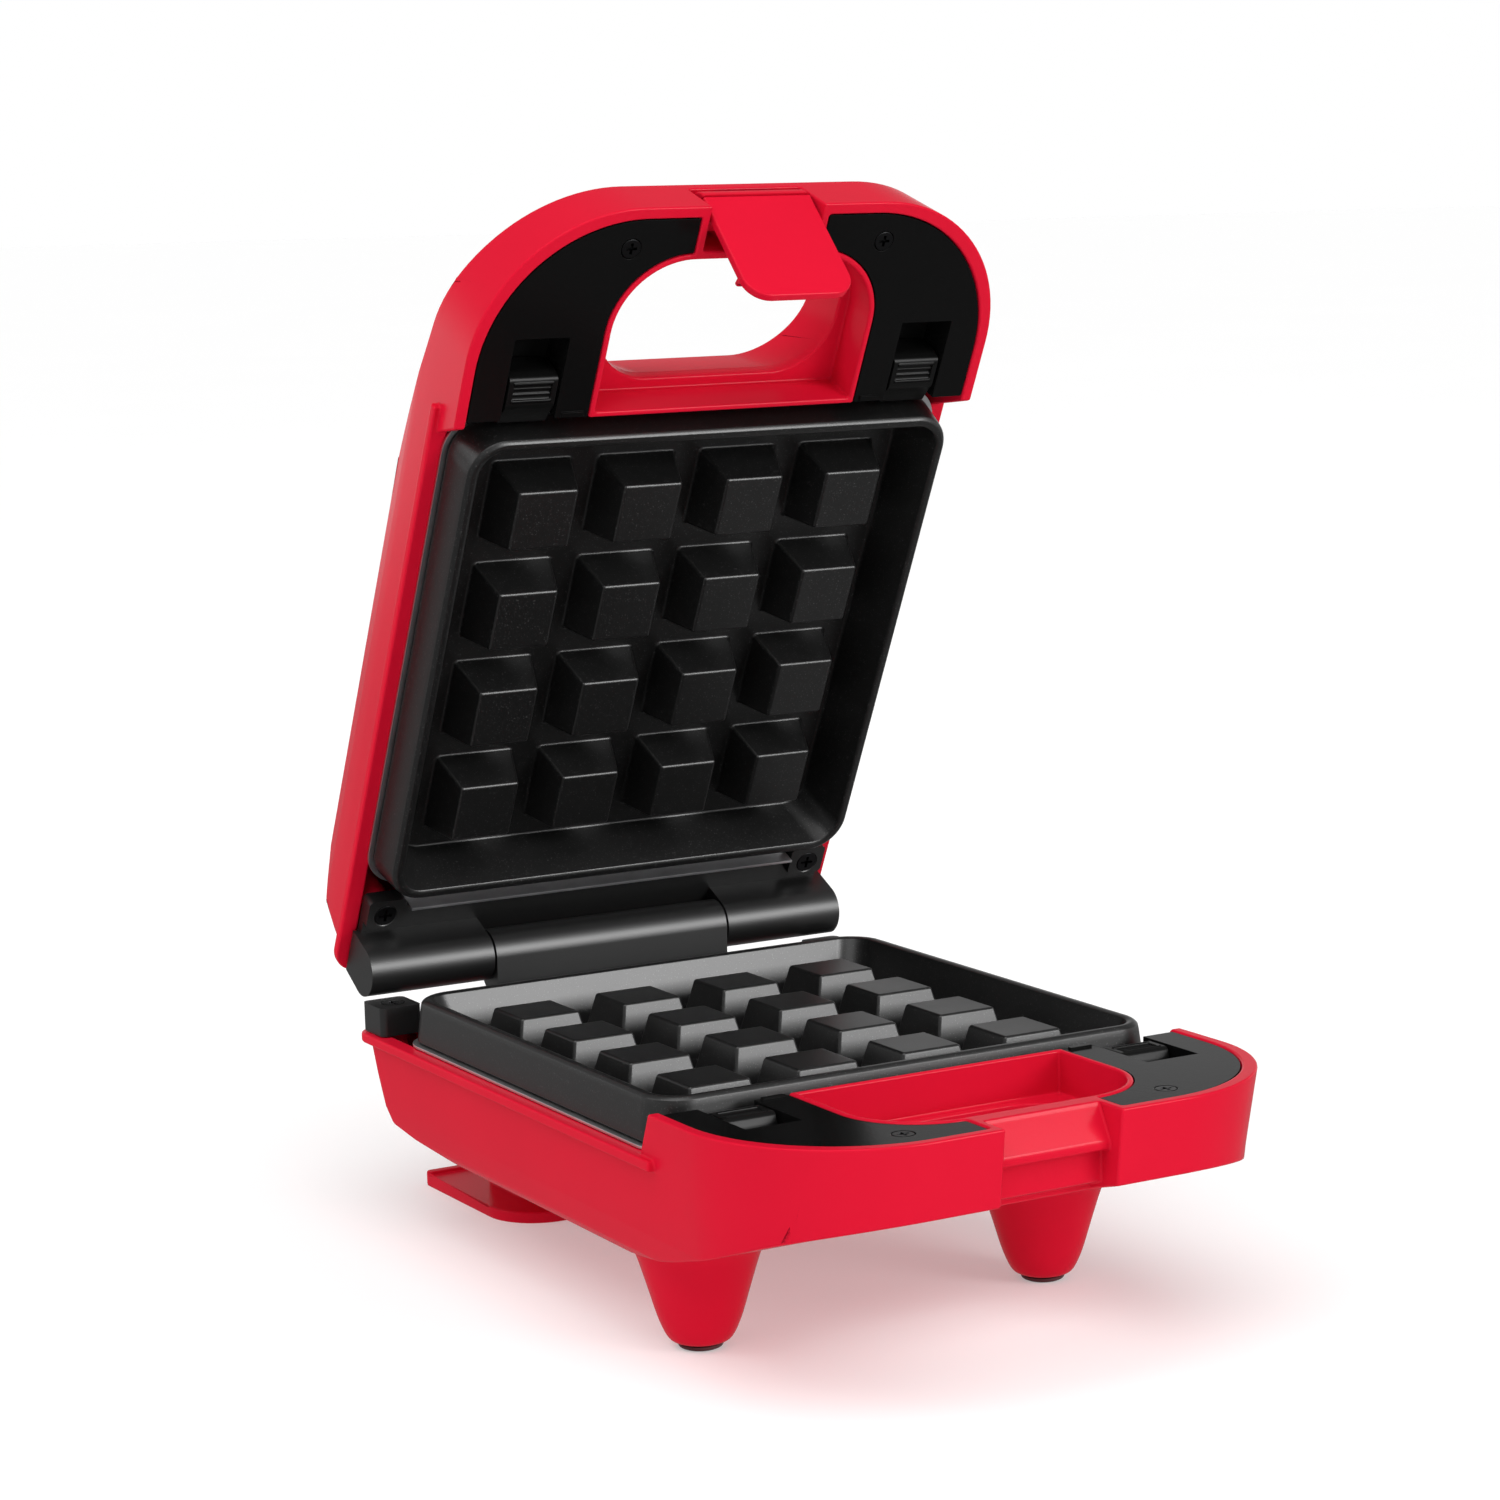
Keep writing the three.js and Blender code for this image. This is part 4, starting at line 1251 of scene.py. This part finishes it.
# ---------------------------------------------------------------- hinge
@dataclass
class Hinge:
    """Both brackets, the pin and the screws."""

    shell_half: float = 69.3
    bracket_front: float = 72.2
    bracket_rear: float = 82.0
    lid_rear: float = 91.5
    base_rear: float = 84.0
    ledge: float = -9.2
    radius: float = 6.4
    middle: float = 33.0
    gap: float = 0.6
    reach: float = 67.0
    pin: float = 2.0
    post_at: Point = (62.5, 78.0)
    post_top: float = -2.2
    pad_at: Point = (60.5, 73.6)
    pad_top: float = -5.0

    def knuckle(self, span: Span, z: float, web: tuple[float, float]) -> Form:
        """A drum round the axis, with the web that joins it to its bracket."""
        drum = Form.rod(Axis.X, span, (HINGE.y, z), self.radius, steps=72)
        rear = web[1] > HINGE.y
        last = (HINGE.y + self.radius, z) if rear else (HINGE.y + self.radius * 0.6, z - self.radius * 0.8)
        level = self.ledge + 1
        outline = [(HINGE.y - self.radius, z), (web[0], level), (web[1], level), last]
        return drum + Form.prism(outline, span, Axis.X)

    def bore(self, z: float) -> Form:
        """The pin's bore through every knuckle."""
        return Form.rod(Axis.X, (3 - self.reach, self.reach - 3), (HINGE.y, z), self.pin + 0.2, steps=32)

    def screw_hole(self, at: Point, level: float) -> Form:
        """A countersunk hole."""
        sink = Form.rod(Axis.Z, (level - 1.6, level + 0.1), at, 1.6, 3.2, 32)
        return sink + Form.rod(Axis.Z, (-22, level + 9), at, 1.6, steps=24)

    def base_bracket(self) -> Form:
        """The middle knuckle on its strip, with a post at each end."""
        z = HINGE.level(Half.BASE)
        strip = self.shell_half - 7
        along = (self.bracket_front, self.bracket_rear)
        body = Form.block((-strip, strip), along, (self.ledge, self.ledge + 3))
        body += self.knuckle((-self.middle, self.middle), z, (HINGE.y - 6, self.bracket_rear))
        for _, side in SIDES:
            across = ordered(side * (self.shell_half - 1.2), side * (self.shell_half - 12))
            post = Form.block(across, (self.bracket_front, self.base_rear), (self.ledge, self.post_top), 1.6)
            body += post
            body -= self.screw_hole((side * self.post_at[0], self.post_at[1]), self.post_top)
        return body - self.bore(z)

    def lid_bracket(self) -> Form:
        """The two outer knuckles on their strip, with a screw pad at each end."""
        z = HINGE.level(Half.LID)
        strip = self.shell_half - 4
        body = Form.block((-strip, strip), (self.bracket_front, self.lid_rear), (self.ledge, self.ledge + 2.2))
        for _, side in SIDES:
            span = ordered(side * (self.middle + self.gap), side * self.reach)
            body += self.knuckle(span, z, (HINGE.y - self.radius, self.lid_rear))
            across = ordered(side * (self.shell_half - 14), side * (self.shell_half - 4))
            body += Form.block(across, (69, self.pad_at[1] + 3.4), (self.ledge, self.pad_top), 1.2)
            body -= self.screw_hole((side * self.pad_at[0], self.pad_at[1]), self.pad_top)
        return body - self.bore(z)

    def build(self) -> None:
        """Makes the hinge's pieces."""
        edge = Edge(0.3, 2, clamp=True)
        Piece("base_hinge_bracket", self.base_bracket(), Half.BASE, "base", HINGE_BLACK, edge)
        Piece("lid_hinge_bracket", self.lid_bracket(), Half.LID, "lid", HINGE_BLACK, edge)
        reach = self.reach - 3.5
        pin = Form.rod(Axis.X, (-reach, reach), (HINGE.y, HINGE.lift), self.pin)
        Piece("hinge_pin", pin, Half.BASE, "base", SCREW_STEEL, Edge(0.3))
        for word, side in SIDES:
            places = ((Half.BASE, self.post_at, self.post_top), (Half.LID, self.pad_at, self.pad_top))
            for half, at, top in places:
                name = f"{half.value}_hinge_screw_{word}"
                form = Screw((side * at[0], at[1]), top, 12).form()
                Piece(name, form, half, half.value, SCREW_STEEL, Edge(0.08, 2))


# ---------------------------------------------------------------- latch
@dataclass
class Latch:
    """The pull latch with its pin and spring, drawn upright about the pin and then leaned inwards."""

    pivot: Point = (-116.6, -6.5)
    tilt: float = 20.0
    width: float = 28.0
    thickness: float = 2.1
    root: float = 4.5
    reach: float = 30.0
    corner: float = 6.0
    hook_level: float = 21.4
    hook_reach: float = 3.0
    pin: float = 1.2
    pin_half: float = 15.8
    spring_half: float = 7.0
    wire: float = 0.42
    turns: int = 9

    @property
    def leaning(self) -> Matrix:
        """Leans a form about the pin and puts the pin in its place."""
        return Matrix.Translation((0, *self.pivot)) @ Matrix.Rotation(math.radians(-self.tilt), 4, "X")

    def flap(self) -> Form:
        """The flap with its round root and its hook."""
        outside, half = -self.root, self.width / 2
        inside = outside + self.thickness
        reach, corner = self.reach, self.corner
        corners = [(-half, -0.5), (half, -0.5), (half, reach, corner), (-half, reach, corner)]
        plate = Form.prism(corners, (outside, inside), steps=12)
        upright = Matrix(((1, 0, 0, 0), (0, 0, 1, 0), (0, 1, 0, 0), (0, 0, 0, 1)))
        plate = plate.turned(upright).facing_out()
        root = Form.rod(Axis.X, (0.3 - half, half - 0.3), (0, 0), self.root, steps=56)
        room = self.spring_half + 0.8
        root -= Form.block((-room, room), (inside, 20), (-20, 20))
        hook = [(inside - 0.5, self.hook_level), (inside + self.hook_reach, self.hook_level)]
        hook += [(inside + self.hook_reach, self.hook_level + 1), (inside - 0.5, self.hook_level + 4.2)]
        body = plate + root + Form.prism(hook, (1 - half, half - 1), Axis.X)
        return body - Form.rod(Axis.X, (-40, 40), (0, 0), self.pin + 0.2, steps=10)

    def spring(self) -> Form:
        """The coils round the pin: a small ring swept along a helix."""
        bm = bmesh.new()
        radius = self.pin + 0.3 + self.wire
        ring = bmesh.ops.create_circle(bm, cap_ends=True, radius=self.wire, segments=8)["verts"]
        stand = Matrix.Translation((0, radius, -self.spring_half + self.wire))
        stand = stand @ Matrix.Rotation(math.pi / 2, 4, "Y")
        bmesh.ops.transform(bm, matrix=stand, verts=ring)
        rise = 2 * (self.spring_half - self.wire)
        steps = self.turns * 20
        turn = Matrix.Rotation(math.tau * self.turns / steps, 4, "Z")
        lift = Matrix.Translation((0, 0, rise / steps))
        face = next(iter(bm.faces))
        for step in range(steps):
            made = bmesh.ops.extrude_face_region(bm, geom=[face])["geom"]
            if step:
                bmesh.ops.delete(bm, geom=[face], context="FACES_ONLY")
            face = next(item for item in made if isinstance(item, bmesh.types.BMFace))
            bmesh.ops.transform(bm, matrix=lift @ turn, verts=list(face.verts))
        return Form(bm).turned(TO_AXIS[Axis.X]).facing_out()

    def build(self) -> None:
        """Makes the latch, its pin and its spring."""
        flap = self.flap().turned(self.leaning)
        Piece("latch", flap, Half.LID, "latch", RED, Edge(0.45))
        pin = Form.rod(Axis.X, (-self.pin_half, self.pin_half), (0, 0), self.pin, steps=32).turned(self.leaning)
        Piece("latch_pin", pin, Half.LID, "latch_pivot", SCREW_STEEL, Edge(0.2))
        spring = self.spring().turned(self.leaning)
        Piece("latch_spring", spring, Half.LID, "latch_pivot", SCREW_STEEL, Edge(0))


# ---------------------------------------------------------------- lamps, wiring pieces and pads
@dataclass
class SmallPieces:
    """Lamps, thermostat, fuse, terminal block, cord gland and foot pads."""

    shell_depth: float = 38.0
    lamp_at: Point = (8.0, -12.0)
    lamp_radius: float = 3.0
    tray_underside: float = -25.0
    thermostat_at: Vector = field(default_factory=lambda: Vector((0, 12, 0)))
    thermostat_profile: tuple[Point, ...] = ((0, -33.2), (4, -33.2), (4.2, -31.4), (8.6, -31.2), (9, -30.8))
    fuse_x: float = 26.0
    fuse_profile: tuple[Point, ...] = ((0, -8), (1.4, -8), (2.6, -6.8), (2.6, 8.8), (1.4, 10), (0, 10))
    terminal_block: tuple[Span, Span] = ((-40, -14), (30, 44))
    terminal_foot: float = -34.0
    terminals: tuple[float, ...] = (-35.5, -27.0, -18.5)
    terminal_radius: float = 2.4
    gland_z: float = -21.5
    gland_radius: float = 5.9
    gland_front: float = 75.8
    cord_radius: float = 3.2
    base_rear: float = 86.3
    foot_at: Point = (45.7, -45.0)
    floor: float = -60.0
    pad: float = 1.2

    def lamps(self) -> None:
        """Makes the two lenses and the holder behind them."""
        crown, radius = 0.2 - self.shell_depth, self.lamp_radius
        for name, side, finish in (("power_lamp_lens", -1, AMBER), ("ready_lamp_lens", 1, GREEN)):
            dome = catmull(((0, crown - 0.9), (1.2, crown - 0.82), (2.3, crown - 0.5), (radius, crown)), 4)
            profile = [*dome, (radius, -32), (0, -32)]
            place = Vector((side * self.lamp_at[0], self.lamp_at[1], 0))
            form = Form.turned_profile(profile, place, steps=40)
            Piece(name, form, Half.LID, "lid", finish, Edge(0))
        x, y = self.lamp_at[0] + 5, self.lamp_at[1]
        board = Form.block((-x, x), (y - 5, y + 5), (-31.6, -30.2), 1)
        board += Form.block((2 - x, x - 2), (y - 3, y + 3), (-30.3, -28), 0.8)
        Piece("lamp_holder", board, Half.LID, "lid", CLIP_BLACK, Edge(0.2, 2))

    def wiring(self) -> None:
        """Makes the thermostat, the fuse and the terminal block under the base's tray."""
        under = self.tray_underside
        disc = [*self.thermostat_profile, (9, under - 0.4), (8.6, under), (0, under)]
        thermostat = Form.turned_profile(disc, self.thermostat_at, steps=56)
        Piece("thermostat", thermostat, Half.BASE, "base", CERAMIC, Edge(0.15, 2))
        fuse = Form.turned_profile(self.fuse_profile, Vector((self.fuse_x, 0, under - 3)), Axis.Y, 32)
        Piece("thermal_fuse", fuse, Half.BASE, "base", CERAMIC, Edge(0.2, 2))
        block = Form.block(*self.terminal_block, (self.terminal_foot, under - 0.5), 1)
        for x in self.terminals:
            hole = (self.terminal_foot - 0.5, self.terminal_foot + 3)
            block -= Form.rod(Axis.Z, hole, (x, sum(self.terminal_block[1]) / 2), self.terminal_radius, steps=28)
        Piece("terminal_block", block, Half.BASE, "base", CERAMIC, Edge(0.3, 2))

    def gland(self) -> None:
        """Makes the cord gland with its ribbed tapered nose."""
        front, rear, radius = self.gland_front, self.base_rear, self.gland_radius
        nose = [(front, radius + 1.2), (front + 3, radius + 1.2), (front + 3, radius), (rear + 0.2, radius)]
        steps = 5
        for index in range(steps):
            y, r = rear + 0.6 + index * 1.45, radius - 0.35 - index * 0.22
            nose += [(y, r), (y + 0.75, r), (y + 0.85, r - 0.4), (y + 1.35, r - 0.4)]
        nose += [(rear + 8, nose[-1][1]), (rear + 8, self.cord_radius)]
        profile = [(r, y) for y, r in nose] + [(self.cord_radius, front)]
        form = Form.turned_profile(profile, Vector((0, 0, self.gland_z)), Axis.Y, ring=True)
        Piece("cord_gland", form, Half.BASE, "base", CLIP_BLACK, Edge(0.15, 2))

    def pads(self) -> None:
        """Makes the two rubber pads under the front feet."""
        top = self.floor + self.pad
        for word, side in SIDES:
            profile = [(0, self.floor), (4.1, self.floor), (4.9, self.floor + 0.35), (5.3, top), (0, top)]
            form = Form.turned_profile(profile, Vector((side * self.foot_at[0], self.foot_at[1], 0)), steps=48)
            name = f"front_foot_pad_{word}"
            Piece(name, form, Half.BASE, "base", PAD_RUBBER, Edge(0.2, 2))

    def build(self) -> None:
        """Makes every small piece."""
        self.lamps()
        self.wiring()
        self.gland()
        self.pads()


# ---------------------------------------------------------------- studio
@dataclass(frozen=True)
class SoftBox:
    """One large soft light that faces the object; it may light matt surfaces, shine in glossy ones, or both."""

    name: str
    place: Vector
    size: Point
    power: float
    lights: bool = True
    shines: bool = True

    def build(self, target: Vector) -> None:
        """Hangs the light and turns it to a target."""
        light = bpy.data.lights.new(self.name, "AREA")
        light.shape = "RECTANGLE"
        light.size, light.size_y = self.size
        light.energy = self.power
        holder = bpy.data.objects.new(self.name, light)
        holder.location = self.place
        holder.rotation_euler = (target - self.place).to_track_quat("-Z", "Y").to_euler()
        holder.visible_diffuse = self.lights
        holder.visible_glossy = self.shines
        bpy.context.scene.collection.objects.link(holder)


@dataclass
class Studio:
    """The pale floor, the soft lights and the camera."""

    camera_place: Vector = field(default_factory=lambda: Vector((-0.41606, -0.72312, 0.24918)))
    yaw: float = -29.555
    pitch: float = 8.506
    roll: float = -1.436
    lens: float = 87.09
    floor_half: float = 40.0
    floor_glow: float = 0.31
    horizon: tuple[Point, ...] = ((-0.07, 0.3), (-0.03, 1.0), (0.08, 1.0), (0.28, 0.3))
    overhead: float = 2.35
    overhead_spread: float = 60.0
    overhead_from: Vector = field(default_factory=lambda: Vector((-0.35, -0.45, 1.0)))
    aim_height: float = 0.1
    front_light: Vector = field(default_factory=lambda: Vector((0.85, -1.62, 0.72)))
    front_size: Point = (0.75, 0.7)
    front_power: float = 13.0
    gloss_power: float = 53.0
    side_light: Vector = field(default_factory=lambda: Vector((-1.5, 0.5, 1.1)))
    side_size: Point = (1.0, 1.0)
    side_power: float = 6.0

    def camera(self) -> None:
        """Sets the camera: yaw, then the look down, then the roll about its own line of sight."""
        yaw, pitch, roll = (math.radians(angle) for angle in (self.yaw, self.pitch, self.roll))
        right = Vector((math.cos(yaw), math.sin(yaw), 0))
        back = Vector((math.sin(yaw) * math.cos(pitch), -math.cos(yaw) * math.cos(pitch), math.sin(pitch)))
        up = back.cross(right)
        across = math.cos(roll) * right + math.sin(roll) * up
        along = math.cos(roll) * up - math.sin(roll) * right
        camera = bpy.data.cameras.new("camera")
        camera.lens = self.lens
        camera.sensor_width = 36
        camera.clip_start = 0.02
        holder = bpy.data.objects.new("camera", camera)
        turn = Matrix((across, along, back)).transposed()
        holder.matrix_world = Matrix.Translation(self.camera_place) @ turn.to_4x4()
        bpy.context.scene.collection.objects.link(holder)
        bpy.context.scene.camera = holder

    def floor(self) -> None:
        """Lays the floor."""
        bm = bmesh.new()
        bmesh.ops.create_grid(bm, x_segments=1, y_segments=1, size=self.floor_half)
        mesh = bpy.data.meshes.new("studio_floor")
        bm.to_mesh(mesh)
        bm.free()
        floor = bpy.data.objects.new("studio_floor", mesh)
        bpy.context.scene.collection.objects.link(floor)
        material = bpy.data.materials.new("studio_floor")
        graph = Graph(material)
        cloud = graph.noise(400, 1)
        graph.surface(
            base_color=graph.tint(cloud, (0.69, 0.69, 0.69), (0.71, 0.71, 0.71)),
            roughness=0.9,
            specular_ior_level=0.0,
            emission_color=(1, 1, 1, 1),
            emission_strength=self.floor_glow,
        )
        mesh.materials.append(material)
        floor.visible_glossy = False

    def surroundings(self) -> None:
        """Sets the light all round: a pale horizon between a dimmer ceiling and a dimmer ground."""
        world = bpy.data.worlds.new("studio")
        bpy.context.scene.world = world
        world.use_nodes = True
        nodes, links = world.node_tree.nodes, world.node_tree.links
        place = nodes.new("ShaderNodeTexCoord")
        parts = nodes.new("ShaderNodeSeparateXYZ")
        ramp = nodes.new("ShaderNodeValToRGB")
        links.new(place.outputs["Generated"], parts.inputs["Vector"])
        scale = nodes.new("ShaderNodeMath")
        scale.operation = "MULTIPLY_ADD"
        scale.inputs[1].default_value = 0.5
        scale.inputs[2].default_value = 0.5
        links.new(parts.outputs["Z"], scale.inputs[0])
        links.new(scale.outputs[0], ramp.inputs["Fac"])
        stops = ramp.color_ramp.elements
        for index, (level, shade) in enumerate(self.horizon):
            stop = stops[index] if index < 2 else stops.new((level + 1) / 2)
            stop.position = (level + 1) / 2
            stop.color = (shade, shade, shade, 1)
        links.new(ramp.outputs["Color"], nodes["Background"].inputs["Color"])

    def sky(self) -> None:
        """Hangs one even light over everything, as wide as a large diffuser."""
        light = bpy.data.lights.new("overhead_diffuser", "SUN")
        light.energy = self.overhead
        light.angle = math.radians(self.overhead_spread)
        holder = bpy.data.objects.new("overhead_diffuser", light)
        holder.rotation_euler = (-self.overhead_from).to_track_quat("-Z", "Y").to_euler()
        bpy.context.scene.collection.objects.link(holder)

    def build(self) -> None:
        """Builds the studio."""
        self.camera()
        self.floor()
        self.surroundings()
        self.sky()
        target = Vector((0, 0, self.aim_height))
        for box in (
            SoftBox("front_soft_box", self.front_light, self.front_size, self.front_power, shines=False),
            SoftBox("front_gloss_card", self.front_light, self.front_size, self.gloss_power, lights=False),
            SoftBox("side_soft_box", self.side_light, self.side_size, self.side_power),
        ):
            box.build(target)
        bpy.context.scene.view_settings.view_transform = "Standard"


def main() -> None:
    """Builds the object and its studio in order."""
    logging.basicConfig(level=logging.INFO, format="%(message)s")
    Studio().build()
    BaseShell().build()
    LidShell().build()
    for half in Half:
        CookingSide(half).build()
        for word, side in SIDES:
            HandlePanel(Shell(half), word, side).build()
    Hinge().build()
    Latch().build()
    SmallPieces().build()


if __name__ == "__main__":
    main()
